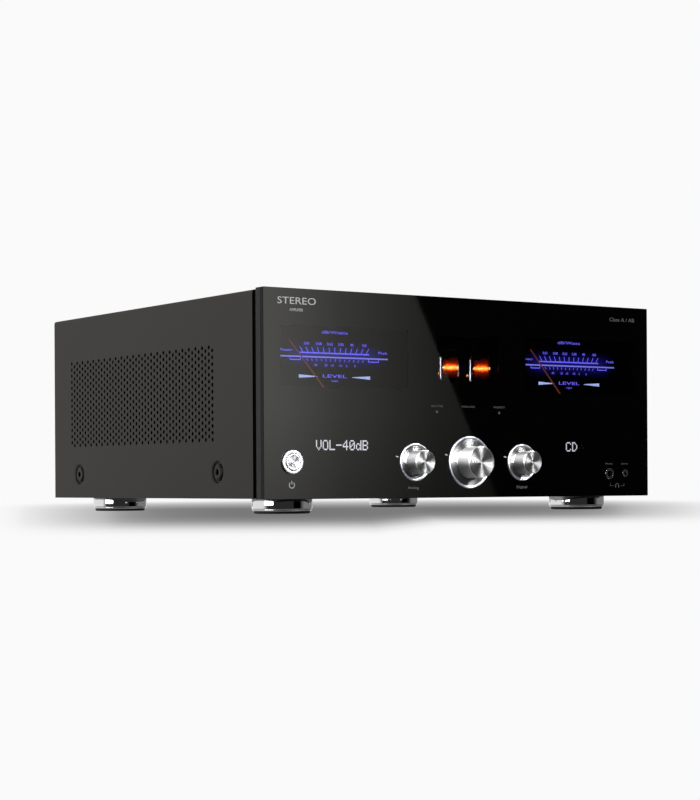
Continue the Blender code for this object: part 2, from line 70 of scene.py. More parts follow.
class Term:
    """A value that nodes work out. Arithmetic on it adds math nodes."""

    def __init__(self, socket):
        self.socket = socket

    def work(self, operation, other=None):
        made = self.socket.id_data.nodes.new("ShaderNodeMath")
        made.operation = operation
        wire(self, made.inputs[0])
        if isinstance(other, Term):
            wire(other, made.inputs[1])
        elif other is not None:
            made.inputs[1].default_value = other
        return Term(made.outputs["Value"])

    def __add__(self, other):
        return self.work("ADD", other)

    def __sub__(self, other):
        return self.work("SUBTRACT", other)

    def __mul__(self, other):
        return self.work("MULTIPLY", other)

    def __truediv__(self, other):
        return self.work("DIVIDE", other)

    def __abs__(self):
        return self.work("ABSOLUTE")

    def fading(self):
        """e to the power of minus this value."""
        return (self * -1.0).work("EXPONENT")


def wire(out, into):
    into.id_data.links.new(out.socket if isinstance(out, Term) else out, into)


def node(owner, kind, **inputs):
    made = owner.node_tree.nodes.new(kind)
    for key, value in inputs.items():
        made.inputs[key.replace("_", " ")].default_value = value
    return made


def shader_of(mat):
    return mat.node_tree.nodes["Principled BSDF"]


def colour_of(value):
    """A colour from its three parts, or a grey from one number."""
    return tuple(value) if hasattr(value, "__len__") else (value, value, value)


def principled(name, **values):
    mat = bpy.data.materials.new(name)
    mat.use_nodes = True
    for key, value in values.items():
        socket = shader_of(mat).inputs[SOCKETS[key]]
        socket.default_value = (*colour_of(value), 1.0) if socket.type == "RGBA" else value
    return mat


def object_space(mat, scale=(1, 1, 1)):
    coords = node(mat, "ShaderNodeTexCoord")
    mapping = node(mat, "ShaderNodeMapping", Scale=scale)
    wire(coords.outputs["Object"], mapping.inputs["Vector"])
    return mapping.outputs["Vector"]


def object_parts(mat):
    """The x, y and z of the object's own coordinates, in metres."""
    parts = node(mat, "ShaderNodeSeparateXYZ")
    wire(node(mat, "ShaderNodeTexCoord").outputs["Object"], parts.inputs["Vector"])
    return [Term(parts.outputs[axis]) for axis in "XYZ"]


def noise(mat, scale, detail=4.0, stretch=(1, 1, 1)):
    made = node(mat, "ShaderNodeTexNoise", Scale=scale, Detail=detail, Roughness=0.55)
    wire(object_space(mat, stretch), made.inputs["Vector"])
    return Term(made.outputs["Fac"])


def waves(mat, scale, distortion):
    made = node(mat, "ShaderNodeTexWave", Scale=scale, Distortion=distortion)
    wire(object_space(mat), made.inputs["Vector"])
    return made


def spread(mat, value, low, high, start=0.3, end=0.7):
    made = node(mat, "ShaderNodeMapRange", From_Min=start, From_Max=end, To_Min=low, To_Max=high)
    wire(value, made.inputs["Value"])
    return made.outputs["Result"]


def ramp(owner, fac, *stops):
    """A colour ramp through (position, colour) stops. The first two are its lowest and highest."""
    made = node(owner, "ShaderNodeValToRGB")
    elements = made.color_ramp.elements
    for i, (position, colour) in enumerate(stops):
        stop = elements[i] if i < 2 else elements.new(position)
        stop.position = position
        stop.color = (*colour_of(colour), 1)
    wire(fac, made.inputs["Fac"])
    return Term(made.outputs["Color"])


def two_tones(mat, fac, first, second, into="Base Color"):
    wire(ramp(mat, fac, (0.3, first), (0.7, second)), shader_of(mat).inputs[into])
    return mat


def vary_colour(mat, scale, first, second):
    return two_tones(mat, noise(mat, scale), first, second)


def add_bump(mat, height, distance, strength):
    bump = node(mat, "ShaderNodeBump", Strength=strength, Distance=distance)
    wire(height, bump.inputs["Height"])
    wire(bump.outputs["Normal"], shader_of(mat).inputs["Normal"])
    return mat


def surface(name, base, roughs=None, tones=None, grain=None, stretch=(1, 1, 1), **values):
    """A material with noise in it.

    roughs and tones each hold a noise scale and the two ends, grain holds a scale, a depth and a strength.
    """
    mat = principled(name, base=base, **values)
    if roughs:
        scale, low, high = roughs
        wire(spread(mat, noise(mat, scale, stretch=stretch), low, high), shader_of(mat).inputs["Roughness"])
    if tones:
        vary_colour(mat, *tones)
    if grain:
        scale, distance, strength = grain
        add_bump(mat, noise(mat, scale, 2.0), distance, strength)
    return mat


def turned_metal(name, base, rough, aniso, groove=0.45):
    """Metal turned on a lathe: grooves round local Z, and the long highlights across them."""
    mat = principled(name, base=base, metal=1.0, aniso=aniso, turn=0.25)
    tangent = node(mat, "ShaderNodeTangent")
    tangent.direction_type = "RADIAL"
    tangent.axis = "Z"
    wire(tangent.outputs["Tangent"], shader_of(mat).inputs["Tangent"])
    rings = waves(mat, 900.0, 1.2)
    rings.wave_type = "RINGS"
    rings.rings_direction = "Z"
    grooves = rings.outputs["Fac"]
    wire(spread(mat, grooves, rough * 0.85, rough * 1.15, 0, 1), shader_of(mat).inputs["Roughness"])
    vary_colour(mat, 60, [c * 0.94 for c in colour_of(base)], base)
    return add_bump(mat, grooves, 0.00001, groove)


def glowing(name, colour, power, base=0.01, uneven=0.12):
    """Something that gives its own light, a little uneven: a lit scale, screen or filament, or painted light
    on a print, a needle, or a glass's highlight and glints.
    """
    mat = principled(name, base=base, rough=0.5, glow=colour, power=power)
    dim = [c * (1 - uneven) for c in colour_of(colour)]
    return two_tones(mat, noise(mat, 400), dim, colour, "Emission Color")


GLOSS = surface("acrylic_gloss_black", 0.0008, (9, 0.015, 0.035), ior=1.49)
GLOSS_EDGE = surface("acrylic_edge", 0.002, grain=(900, 0.00002, 0.25), ior=1.49, rough=0.5, spec=0.15)
PANE = surface("acrylic_smoked", (0.1, 0.1, 0.1023), (9, 0.0, 0.01), ior=1.446, trans=1.0)
ANODISED = surface("anodised_black", 0.013, (120, 0.34, 0.46), grain=(2500, 0.00001, 0.4), metal=0.7)
COVER = surface("cover_powder_coat", (0.027, 0.0242, 0.0202), rough=0.55, spec=0.25,
                tones=(1600, (0.0244, 0.0218, 0.0182), (0.0296, 0.0266, 0.0224)), grain=(2600, 0.00004, 0.55))
# The sheet's inner side and the walls of its holes are far darker than its coat: painted shade in the holes.
HOLE_SHADE = surface("cover_inside", 0.004, grain=(900, 0.00003, 0.5), rough=0.8, spec=0.1)
REAR_PAINT = surface("rear_paint_black", 0.016, tones=(900, 0.013, 0.021), grain=(2200, 0.00004, 0.5),
                     rough=0.5)
GAP_BLACK = surface("bulkhead_black", 0.006, grain=(700, 0.00003, 0.5), rough=0.7)
ZINC = surface("zinc_plate", (0.42, 0.42, 0.41), (30, 0.3, 0.52), (55, 0.34, (0.5, 0.5, 0.48)), metal=0.9)
BLACK_STEEL = surface("black_oxide", 0.012, (500, 0.26, 0.42), grain=(1500, 0.00002, 0.5), metal=0.85)
CHROME = surface("chrome", (0.82, 0.82, 0.83), (60, 0.03, 0.08), metal=1.0)
RUBBER = surface("rubber", 0.012, tones=(300, 0.009, 0.018), grain=(1500, 0.00005, 0.5), rough=0.75)
TURNED = turned_metal("knob_turned_face", (0.86, 0.86, 0.87), 0.24, 0.86)
TURNED_SIDE = turned_metal("knob_turned_side", (0.84, 0.84, 0.85), 0.42, 0.8)
RIM = surface("knob_rim", (0.84, 0.87, 0.97), (200, 0.26, 0.36), metal=1.0)
BUTTON = turned_metal("button_turned_face", (0.52, 0.52, 0.53), 0.38, 0.8, groove=0.05)
BEZEL = surface("button_bezel", (0.55, 0.56, 0.58), (200, 0.36, 0.46), metal=1.0)
STEEL = turned_metal("shaft_ground", 0.6, 0.28, 0.5)
NICKEL = surface("nickel", (0.66, 0.63, 0.58), (300, 0.14, 0.26), metal=1.0)
GOLD = surface("gold_plate", (0.83, 0.61, 0.27), (300, 0.14, 0.26), metal=1.0)
BOARD = surface("solder_mask", (0.012, 0.06, 0.024), tones=(180, (0.008, 0.045, 0.018), (0.02, 0.09, 0.035)),
                grain=(500, 0.00003, 0.5), rough=0.35)
MOULDED = surface("moulded_black", 0.012, tones=(240, 0.01, 0.017), grain=(1300, 0.00004, 0.4), rough=0.5)
MOVEMENT = surface("movement_steel", 0.2, (200, 0.3, 0.5), metal=0.9)
HEATSINK = surface("extruded_aluminium", 0.09, (80, 0.32, 0.5), stretch=(1, 1, 0.05), metal=0.9)
COPPER = principled("enamelled_winding", base=(0.3, 0.1, 0.03), metal=0.8, rough=0.35)
winding = waves(COPPER, 260.0, 2.0).outputs["Fac"]
two_tones(COPPER, winding, (0.2, 0.06, 0.02), (0.42, 0.15, 0.05))
add_bump(COPPER, winding, 0.0003, 0.6)
SLEEVE = surface("capacitor_sleeve", (0.012, 0.012, 0.02), grain=(400, 0.00003, 0.5), rough=0.35, coat=0.3,
                 tones=(100, (0.01, 0.01, 0.016), (0.02, 0.02, 0.032)))
LIT = 15.4  # strength of the lit parts, which the smoked panes bring down to what the photo shows
DIAL = surface("dial_black", (0.003, 0.003, 0.005), grain=(1500, 0.00002, 0.3), rough=0.7, spec=0.1)
# The needles' dim glow is painted light: it stands in for the meter's lamp shining on them.
NEEDLE = glowing("needle_red", (0.85, 0.2, 0.12), LIT * 0.085, (0.4, 0.06, 0.02))
BLUE = glowing("scale_blue", (0.15, 0.13, 1.0), LIT * 0.78, uneven=0.3)
BLUE_LINE = glowing("scale_blue_line", (0.25, 0.26, 1.0), LIT * 0.5, uneven=0.1)
BLUE_PALE = glowing("scale_blue_pale", (0.45, 0.56, 1.0), LIT * 0.6, uneven=0.2)
SCREEN_WHITE = glowing("display_white", (0.84, 0.83, 0.93), 0.95)
SCREEN_DIM = glowing("display_white_dim", (0.84, 0.83, 0.93), 0.75)
SCREEN_RED = glowing("display_red", (0.2, 0.004, 0.002), 0.25)
# The front's prints give their own light: painted light standing in for the lamps on their white ink.
PRINT = glowing("panel_print", 0.5, 0.6, 0.5)
PRINT_MID = glowing("panel_print_mid", 0.4, 0.24, 0.2)
PRINT_DIM = glowing("panel_print_dim", 0.3, 0.18, 0.12)
REAR_PRINT = surface("rear_print", 0.6, tones=(300, 0.5, 0.66), rough=0.6)
RED_PLASTIC = surface("plastic_red", (0.4, 0.012, 0.01), grain=(900, 0.00003, 0.5), rough=0.35,
                      tones=(300, (0.33, 0.01, 0.008), (0.46, 0.016, 0.012)))
WHITE_PLASTIC = surface("plastic_white", (0.7, 0.7, 0.68), grain=(900, 0.00003, 0.5), rough=0.35,
                        tones=(300, (0.62, 0.62, 0.6), (0.74, 0.74, 0.72)))


# ---------------------------------------------------------------- mesh helpers

FACING = {
    "front": (PI / 2, 0, 0), "back": (-PI / 2, 0, 0), "up": (0, 0, 0),
    "left": (0, -PI / 2, 0), "right": (0, PI / 2, 0),
}


def linked(name, data):
    """A new object in the scene, from a mesh, a curve, a lamp or a camera."""
    obj = bpy.data.objects.new(name, data)
    bpy.context.scene.collection.objects.link(obj)
    return obj


def finish_piece(name, bm, mats, body="case", slot=None, centre=(0, 0, 0), turn=(0, 0, 0), sharp=32,
                 replaces=()):
    """Turns a bmesh in metres into a piece that rides on a body."""
    bmesh.ops.recalc_face_normals(bm, faces=bm.faces)
    mesh = bpy.data.meshes.new(name)
    bm.to_mesh(mesh)
    bm.free()
    for mat in mats if isinstance(mats, (list, tuple)) else [mats]:
        mesh.materials.append(mat)
    mesh.shade_smooth()
    mesh.set_sharp_from_angle(angle=math.radians(sharp))
    obj = linked(name, mesh)
    obj.location = centre
    obj.rotation_euler = turn
    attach(obj, body)
    if replaces:
        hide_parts(*replaces)
    return obj


def rounded(points, steps=4, closed=False):
    """Profile points (radius, height) in mm. A third number rounds that corner with an arc."""
    out = []
    count = len(points)
    for i, point in enumerate(points):
        here = Vector(point[:2])
        if len(point) == 2 or (not closed and i in (0, count - 1)):
            out.append(here)
            continue
        before = Vector(points[i - 1][:2])
        after = Vector(points[(i + 1) % count][:2])
        start = here + (before - here).normalized() * point[2]
        end = here + (after - here).normalized() * point[2]
        for step in range(steps + 1):
            t = step / steps
            out.append(start * (1 - t) ** 2 + here * (2 * t * (1 - t)) + end * t * t)
    return out


def join_rings(bm, first, second, index=0):
    """Adds the walls between two rings of vertices. A ring of one vertex is a tip."""
    count = max(len(first), len(second))
    for i in range(count):
        j = (i + 1) % count
        if len(first) == 1:
            corners = (first[0], second[j], second[i])
        elif len(second) == 1:
            corners = (first[i], first[j], second[0])
        else:
            corners = (first[i], first[j], second[j], second[i])
        bm.faces.new(corners).material_index = index


def lathe_into(bm, points, segments, closed=False, finish=None, wave=None, matrix=None):
    """Adds a turned shell. finish(r, h) gives a face's material index, wave(angle, r, h) its radius."""
    rings = []
    for r, h in points:
        if r < TINY:
            rings.append([bm.verts.new((0, 0, h * MM))])
            continue
        ring = []
        for i in range(segments):
            angle = 2 * PI * i / segments
            radius = wave(angle, r, h) if wave else r
            spot = (radius * MM * math.cos(angle), radius * MM * math.sin(angle), h * MM)
            ring.append(bm.verts.new(spot))
        rings.append(ring)
    for a in range(len(rings) if closed else len(rings) - 1):
        b = (a + 1) % len(rings)
        if max(len(rings[a]), len(rings[b])) > 1:
            middle = [(points[a][k] + points[b][k]) / 2 for k in (0, 1)]
            join_rings(bm, rings[a], rings[b], finish(*middle) if finish else 0)
    if matrix is not None:
        bmesh.ops.transform(bm, matrix=matrix, verts=[v for ring in rings for v in ring])


def lathe(name, points, at, facing, mats, body="case", segments=96, closed=False, finish=None, wave=None,
          **more):
    bm = bmesh.new()
    lathe_into(bm, rounded(points, closed=closed), segments, closed, finish, wave)
    return finish_piece(name, bm, mats, body, centre=panel(*at), turn=FACING[facing], **more)


def rod_points(radius, low, high):
    return [(0, high), (radius, high), (radius, low), (0, low)]


def turned_parts(name, mat, shells, at=None, **more):
    """One upright piece of several turned shells: each is (profile, segments, place) and may end with a wave.

    Places are in millimetres, from the point at if there is one, else from the panel's origin.
    """
    bm = bmesh.new()
    for points, segments, place, *wave in shells:
        spot = Matrix.Translation(Vector(place) * MM if at else panel(*place))
        lathe_into(bm, rounded(points), segments, wave=wave[0] if wave else None, matrix=spot)
    centre = panel(*at) if at else (0, 0, 0)
    return finish_piece(name, bm, mat, centre=centre, **more)


def grown(limits, by):
    return limits[0] - by, limits[1] + by


def box_into(bm, xs, ys, zs, bevel=0.0, index=0, steps=2):
    """Adds a box in panel millimetres, with rounded edges."""
    made = bmesh.ops.create_cube(bm, size=1.0)
    verts = made["verts"]
    size = Vector((xs[1] - xs[0], ys[1] - ys[0], zs[1] - zs[0]))
    middle = panel((xs[0] + xs[1]) / 2, (ys[0] + ys[1]) / 2, (zs[0] + zs[1]) / 2)
    bmesh.ops.scale(bm, vec=size * MM, verts=verts)
    bmesh.ops.translate(bm, vec=middle, verts=verts)
    faces = list({f for v in verts for f in v.link_faces})
    for face in faces:
        face.material_index = index
    if bevel:
        edges = list({e for v in verts for e in v.link_edges})
        bmesh.ops.bevel(bm, geom=edges, offset=bevel * MM, segments=steps, affect="EDGES", profile=0.5)


def solid_between(bm, front, back, index=0):
    """Adds two caps and the walls between them, and returns the caps."""
    caps = [bm.faces.new(front), bm.faces.new(back[::-1])]
    walls = []
    for i in range(len(front)):
        j = (i + 1) % len(front)
        walls.append(bm.faces.new((front[j], front[i], back[i], back[j])))
    for face in caps + walls:
        face.material_index = index
    return caps


def prism_into(bm, outline, y_front=-0.06, y_back=0.02, index=0):
    """Adds a flat shape: its outline in x and z, from y_front to y_back. Left out, a print on the front."""
    front = [bm.verts.new(panel(x, y_front, z)) for x, z in outline]
    back = [bm.verts.new(panel(x, y_back, z)) for x, z in outline]
    solid_between(bm, front, back, index)


def stroke(x0, z0, x1, z1, width):
    """The outline of a straight stroke."""
    along = Vector((x1 - x0, z1 - z0)).normalized() * width / 2
    side = Vector((-along.y, along.x))
    return [(x0 + side.x, z0 + side.y), (x1 + side.x, z1 + side.y),
            (x1 - side.x, z1 - side.y), (x0 - side.x, z0 - side.y)]


def arc_strokes(cx, cz, radius, start, end, width, count=12):
    """Outlines of the strokes that make an arc."""
    angles = [math.radians(start + (end - start) * i / count) for i in range(count + 1)]
    spots = [(cx + radius * math.cos(a), cz + radius * math.sin(a)) for a in angles]
    return [stroke(*p, *q, width) for p, q in zip(spots, spots[1:])]


def evaluated_mesh(obj):
    """The mesh that a curve, a text or a modifier makes. The object is then removed."""
    bpy.context.view_layer.update()
    graph = bpy.context.evaluated_depsgraph_get()
    mesh = bpy.data.meshes.new_from_object(obj.evaluated_get(graph))
    bpy.data.objects.remove(obj)
    return mesh


def absorb(bm, mesh, index):
    """Takes a mesh's faces into bm under one material index. The mesh is then removed."""
    start = len(bm.faces)
    bm.from_mesh(mesh)
    bm.faces.ensure_lookup_table()
    for face in bm.faces[start:]:
        face.material_index = index
    bpy.data.meshes.remove(mesh)


CAPITAL = 0.729  # height of a capital in the built-in font, for a size of 1


def text_into(bm, words, x, z, height, y, width=None, index=0, depth=0.06, weight=0.0, back=False):
    """Adds lettering centred on x and z, its capitals height tall, standing depth proud of y."""
    curve = bpy.data.curves.new("letters", "FONT")
    curve.body = words
    curve.align_x = "CENTER"
    curve.resolution_u = 3
    curve.offset = weight
    mesh = evaluated_mesh(linked("letters", curve))
    xs = [v.co.x for v in mesh.vertices]
    grow = height / CAPITAL
    natural = (max(xs) - min(xs)) * grow
    squeeze = width / natural if width else 1.0
    middle = (max(xs) + min(xs)) / 2
    sign = -1 if back else 1
    letters = bmesh.new()
    letters.from_mesh(mesh)
    flat = letters.faces[:]
    for vert in letters.verts:
        vx = (vert.co.x - middle) * grow * squeeze
        vz = (vert.co.y - CAPITAL / 2) * grow
        vert.co = panel(x + vx * sign, y - depth * sign, z + vz)
    walls = bmesh.ops.extrude_face_region(letters, geom=flat)
    moved = [g for g in walls["geom"] if isinstance(g, bmesh.types.BMVert)]
    bmesh.ops.translate(letters, vec=(0, depth * sign * MM, 0), verts=moved)
    letters.to_mesh(mesh)
    letters.free()
    absorb(bm, mesh, index)


def circle_points(cx, cy, radius, count=48):
    return [(cx + radius * math.cos(2 * PI * i / count), cy + radius * math.sin(2 * PI * i / count))
            for i in range(count)]


def rect_points(xs, zs, radius=0.0, steps=4):
    """A rectangle's outline, with rounded corners."""
    if not radius:
        return [(xs[0], zs[0]), (xs[1], zs[0]), (xs[1], zs[1]), (xs[0], zs[1])]
    out = []
    corners = ((xs[1], zs[0], -90), (xs[1], zs[1], 0), (xs[0], zs[1], 90), (xs[0], zs[0], 180))
    for cx, cz, start in corners:
        mx = cx - radius if cx == xs[1] else cx + radius
        mz = cz - radius if cz == zs[1] else cz + radius
        for step in range(steps + 1):
            a = math.radians(start + 90 * step / steps)
            out.append((mx + radius * math.cos(a), mz + radius * math.sin(a)))
    return out


def plate_into(bm, outlines, y_front, y_back, index=0):
    """Adds a flat plate in x and z: the first outline is its edge, the others are holes."""
    curve = bpy.data.curves.new("plate", "CURVE")
    curve.dimensions = "2D"
    curve.fill_mode = "BOTH"
    curve.extrude = (y_back - y_front) / 2 * MM
    for outline in outlines:
        spline = curve.splines.new("POLY")
        spline.points.add(len(outline) - 1)
        for spot, (x, z) in zip(spline.points, outline):
            spot.co = (x * MM, z * MM, 0, 1)
        spline.use_cyclic_u = True
    mesh = evaluated_mesh(linked("plate", curve))
    upright = Matrix.Rotation(PI / 2, 4, "X")
    mesh.transform(Matrix.Translation(panel(0, (y_front + y_back) / 2, 0)) @ upright)
    absorb(bm, mesh, index)
    bmesh.ops.remove_doubles(bm, verts=bm.verts, dist=TINY / 10)


# ---------------------------------------------------------------- carried-over nodes

def repaint(mat, *names):
    for name in names:
        obj = NODES[name]
        for face_slot in obj.material_slots:
            face_slot.link = "DATA"
        obj.data.materials.clear()
        obj.data.materials.append(mat)


repaint(ANODISED, "front_frame")
repaint(GAP_BLACK, "front_bulkhead", "meter_left_housing", "meter_right_housing")
repaint(ZINC, "bottom_chassis")
repaint(STEEL, "volume_shaft", "left_selector_shaft", "right_selector_shaft")
repaint(BOARD, "front_control_board", "main_board", "tube_socket_board")
repaint(MOVEMENT, "meter_left_movement", "meter_right_movement")
repaint(NEEDLE, "meter_left_needle", "meter_right_needle")
repaint(COPPER, "transformer")
repaint(HEATSINK, "heatsink_left", "heatsink_right")
repaint(SLEEVE, "capacitor_left", "capacitor_right")
repaint(REAR_PAINT, "rear_panel")
repaint(DIAL, "meter_left_dial", "meter_right_dial")


# ---------------------------------------------------------------- front panel

def window(name, x, half, low, high):
    return name, (x - half, x + half), (low, high)


METERS = (("left", -132.0), ("right", 132.0))
WINDOWS = [window(f"meter_window_{side}", x, 66.0, 95.5, 147.5) for side, x in METERS]
WINDOWS.append(window("tube_window", 0.0, 34.5, 102.6, 144.5))
KNOB_Z = 31.5
# Each knob: name, x, radius of its flange, radius of its body, reach.
KNOBS = (("left_selector", -60.0, 16.75, 10.4, 17.0), ("volume", 0.0, 23.4, 14.1, 19.0),
         ("right_selector", 60.0, 16.75, 10.4, 17.0))
POWER_X = -187.0
# Each socket: name, x, z, radii of its flange, barrel and bore, depth.
JACKS = (("headphone_jack_large", 166.0, 21.0, 5.1, 4.3, 3.2, 34.0),
         ("headphone_jack_small", 185.5, 21.5, 3.4, 2.8, 1.8, 18.0))
SHAFT_HOLE_R = 4.2
POWER_HOLE_R = 9.3
JACK_GAP = 0.3
FASCIA_T = 4.0
FASCIA_CORNER = 0.6
FASCIA_BEVEL = 0.28
PANE_T = 2.2
PANE_GAP = 0.01


def mark_edges(bm):
    """Gives the faces that look neither forward nor back the second material."""
    for face in bm.faces:
        if abs(face.normal.y) < 0.99:
            face.material_index = 1


def make_fascia():
    bm = bmesh.new()
    outlines = [rect_points((-HALF_W, HALF_W), (0, PANEL_H), FASCIA_CORNER)]
    outlines += [rect_points(xs, zs) for _, xs, zs in WINDOWS]
    outlines += [circle_points(x, KNOB_Z, SHAFT_HOLE_R) for _, x, *_ in KNOBS]
    outlines.append(circle_points(POWER_X, KNOB_Z, POWER_HOLE_R, 64))
    outlines += [circle_points(x, z, barrel + JACK_GAP) for _, x, z, _, barrel, *_ in JACKS]
    plate_into(bm, outlines, 0.0, FASCIA_T)
    near = FASCIA_CORNER + 0.1
    rim = []
    for edge in bm.edges:
        spots = [(v.co - PANEL) / MM for v in edge.verts]
        outside = all(abs(p.x) > HALF_W - near or p.z < near or p.z > PANEL_H - near for p in spots)
        level = abs(spots[0].y - spots[1].y) < 0.01
        if outside and level and len(edge.link_faces) == 2 and edge.calc_face_angle(0) > 1.2:
            rim.append(edge)
    bmesh.ops.bevel(bm, geom=rim, offset=FASCIA_BEVEL * MM, segments=3, affect="EDGES", profile=0.5)
    mark_edges(bm)
    finish_piece("fascia_panel", bm, [GLOSS, GLOSS_EDGE], slot="gloss_black", sharp=10, replaces=("fascia",))


def make_pane(name, xs, zs):
    bm = bmesh.new()
    box_into(bm, grown(xs, -PANE_GAP), (0.0, PANE_T), grown(zs, -PANE_GAP))
    mark_edges(bm)
    finish_piece(f"{name}_pane", bm, [PANE, GLOSS_EDGE], slot="smoked_pane", replaces=(name,))


DOT_GLYPHS = {
    "V": "10001 10001 10001 10001 10001 01010 00100",
    "O": "01110 10001 10001 10001 10001 10001 01110",
    "L": "10000 10000 10000 10000 10000 10000 11111",
    "-": "00000 00000 00000 11111 00000 00000 00000",
    "4": "00010 00110 01010 10010 11111 00010 00010",
    "0": "01110 10001 10011 10101 11001 10001 01110",
    "d": "00001 00001 01101 10011 10001 10011 01101",
    "B": "11110 10001 10001 11110 10001 10001 11110",
    "C": "01110 10001 10000 10000 10000 10001 01110",
    "D": "11100 10010 10001 10001 10001 10010 11100",
}
DISPLAY_LOW = 41.8
DOT_PITCH_Z = 1.245


def make_display(name, words, left, pitch, lit, spare_dots=()):
    """Lit dots of a dot-matrix display, seen at the surface of the black panel."""
    bm = bmesh.new()
    for place, letter in enumerate(words):
        for row, dots in enumerate(DOT_GLYPHS[letter].split()):
            z = DISPLAY_LOW + (6 - row) * DOT_PITCH_Z
            for column, dot in enumerate(dots):
                if dot == "1":
                    x = left + (place * 6 + column) * pitch
                    xs, zs = (x, x + pitch * 0.94), (z, z + DOT_PITCH_Z * 0.92)
                    prism_into(bm, rect_points(xs, zs, 0.22, 2), -0.07)
    for x, z in spare_dots:
        prism_into(bm, rect_points((x, x + pitch * 0.8), (z, z + DOT_PITCH_Z * 0.8), 0.2, 2), index=1)
    finish_piece(f"{name}_dots", bm, [lit, SCREEN_RED], slot="display_glass", replaces=(name,))


def make_prints():
    """The panel's printed words and signs, all generic."""
    bm = bmesh.new()
    text_into(bm, "STEREO", -181.5, 168.4, 6.1, 0.0, 38.5)
    text_into(bm, "AMPLIFIER", -182.0, 160.6, 2.5, 0.0, 13.5)
    sign_x, sign_z, thick = POWER_X - 0.4, 12.0, 0.75
    for shape in arc_strokes(sign_x, sign_z, 2.6, 130, 410, thick, 18):
        prism_into(bm, shape)
    prism_into(bm, stroke(sign_x, sign_z + 0.6, sign_x, sign_z + 3.6, thick))
    for label, x in (("Analog", -61.3), ("Digital", 60.8)):
        text_into(bm, label, x, 9.2, 2.5, 0.0, 12.0, index=1)
    a = math.radians(165)
    for (_, x, flange, *_), margin in zip(KNOBS, (2.15, 2.2, 2.15)):
        spots = []
        for r in (flange + margin - 1.2, flange + margin + 1.6):
            spots += [x + math.cos(a) * r, KNOB_Z + math.sin(a) * r]
        prism_into(bm, stroke(*spots, 1.1), -0.07)
    finish_piece("panel_print", bm, [PRINT, PRINT_MID])

    bm = bmesh.new()
    text_into(bm, "Class A / AB", 183.0, 167.0, 3.6, 0.0, 31.0)
    for x, label, width in ((-35.0, "SELECTOR", 13.0), (0.0, "MAIN LEVEL", 15.0), (35.0, "PRESELECT", 13.0)):
        text_into(bm, label, x, 81.5, 1.7, 0.0, width)
    for x in (-35.0, 35.0):
        prism_into(bm, circle_points(x, 76.4, 1.1, 20))
    for (_, x, *_), label, width in zip(JACKS, ("Phones", "Line in"), (8.5, 8.0)):
        text_into(bm, label, x, 30.6, 1.6, 0.0, width)
    middle, level = 176, 9.6
    for side in (-1, 1):
        end, ear = middle + side * 8.5, middle + side * 1.9
        prism_into(bm, stroke(end, level, middle + side * 4.5, level, 0.3))
        prism_into(bm, stroke(end, level - 0.2, end, level + 2.4, 0.3))
        prism_into(bm, rect_points((ear - 0.5, ear + 0.5), (8.0, 10.2), 0.3, 2))
    for shape in arc_strokes(middle, level, 2.2, 0, 180, 0.45, 12):
        prism_into(bm, shape)
    finish_piece("panel_small_print", bm, PRINT_DIM)


DIAL_FACE = 17.98


def make_meter_print(side, cx):
    """The lit scale of one power meter."""
    bm = bmesh.new()

    def lit(outline, index=0):
        prism_into(bm, outline, DIAL_FACE - 0.08, DIAL_FACE, index)

    def bar(x0, z0, x1, z1, width, index=0):
        lit(stroke(cx + x0, z0, cx + x1, z1, width), index)

    bar(-56, 122.5, 56, 122.5, 1.25, 1)
    bar(-36, 126.0, 36, 126.0, 1.15)
    for i in range(13):
        x = -33 + 66 * i / 12
        bar(x, 126.6, x * 1.0825, 131.0, 0.6)
        x = -29 + 59 * i / 12
        bar(x, 121.0, x * 0.96, 118.9, 0.55)
    for sign in (-1, 1):
        outer, inner = sign * 46, sign * 35.4
        bar(outer, 119.7, inner, 119.7, 0.8)
        bar(outer, 119.4, outer, 122.0, 0.6)
        bar(inner, 119.4, inner, 122.0, 0.6)
        wedge = [(cx + sign * x, z) for x, z in ((37.0, 107.1), (37.0, 104.1), (18.0, 105.5), (18.0, 105.9))]
        lit(wedge if sign < 0 else wedge[::-1], 2)

    def numbers(z, height, weight, *marks):
        for x, words in marks:
            text_into(bm, words, cx + x, z, height, DIAL_FACE, None, weight=weight)

    numbers(134.1, 2.5, 0.006,
            (-29, "0.01"), (-16.4, "0.08"), (-5, "0.63"), (6.4, "5.00"), (17.9, "40"), (31, "160"))
    numbers(115.6, 2.1, 0.004,
            (-20, "-40"), (-9.5, "-20"), (-3, "-15"), (5.6, "-10"), (12, "-5"), (21, "0"))
    for words, x, z, height, width, weight in (
        ("dB/Watts", 0, 144.3, 2.7, 27.0, 0.0), ("Power", -49.6, 128.0, 2.4, 12.0, 0.004),
        ("Peak", 50.8, 128.0, 2.4, 9.5, 0.004), ("LEVEL", 0, 106.4, 2.9, 25.0, 0.004),
        (side, 0, 102.2, 1.7, 7.0, 0.0),
    ):
        text_into(bm, words, cx + x, z, height, DIAL_FACE, width, weight=weight)
    finish_piece(f"meter_{side}_print", bm, [BLUE, BLUE_LINE, BLUE_PALE], slot="meter_dial_black")


def make_dial_glow():
    """The dials' faint light round their scales, and its falling off, in the dial's own material."""
    x, _, z = object_parts(DIAL)
    far = (abs((abs(x) - METERS[1][1] * MM) / 0.046)).work("POWER", 8.0)
    high = (z - panel(0, 0, 124.0).z) / 0.0065
    shader = shader_of(DIAL)
    glow = ramp(DIAL, (far + high * high).fading(), (0.0, 0), (1.0, (0.008, 0.006, 0.11)))
    wire(glow, shader.inputs["Emission Color"])
    shader.inputs["Emission Strength"].default_value = LIT * 0.7


make_fascia()
for pane, meter in zip(WINDOWS, METERS):
    make_pane(*pane)
    make_meter_print(*meter)
make_pane(*WINDOWS[-1])
make_dial_glow()
make_display("display_left", "VOL-40dB", -162.9, 1.14, SCREEN_WHITE)
make_display("display_right", "CD", 113.3, 1.25, SCREEN_DIM, ((129.5, 44.5), (132.0, 47.0), (134.5, 44.5)))
make_prints()


# ---------------------------------------------------------------- controls

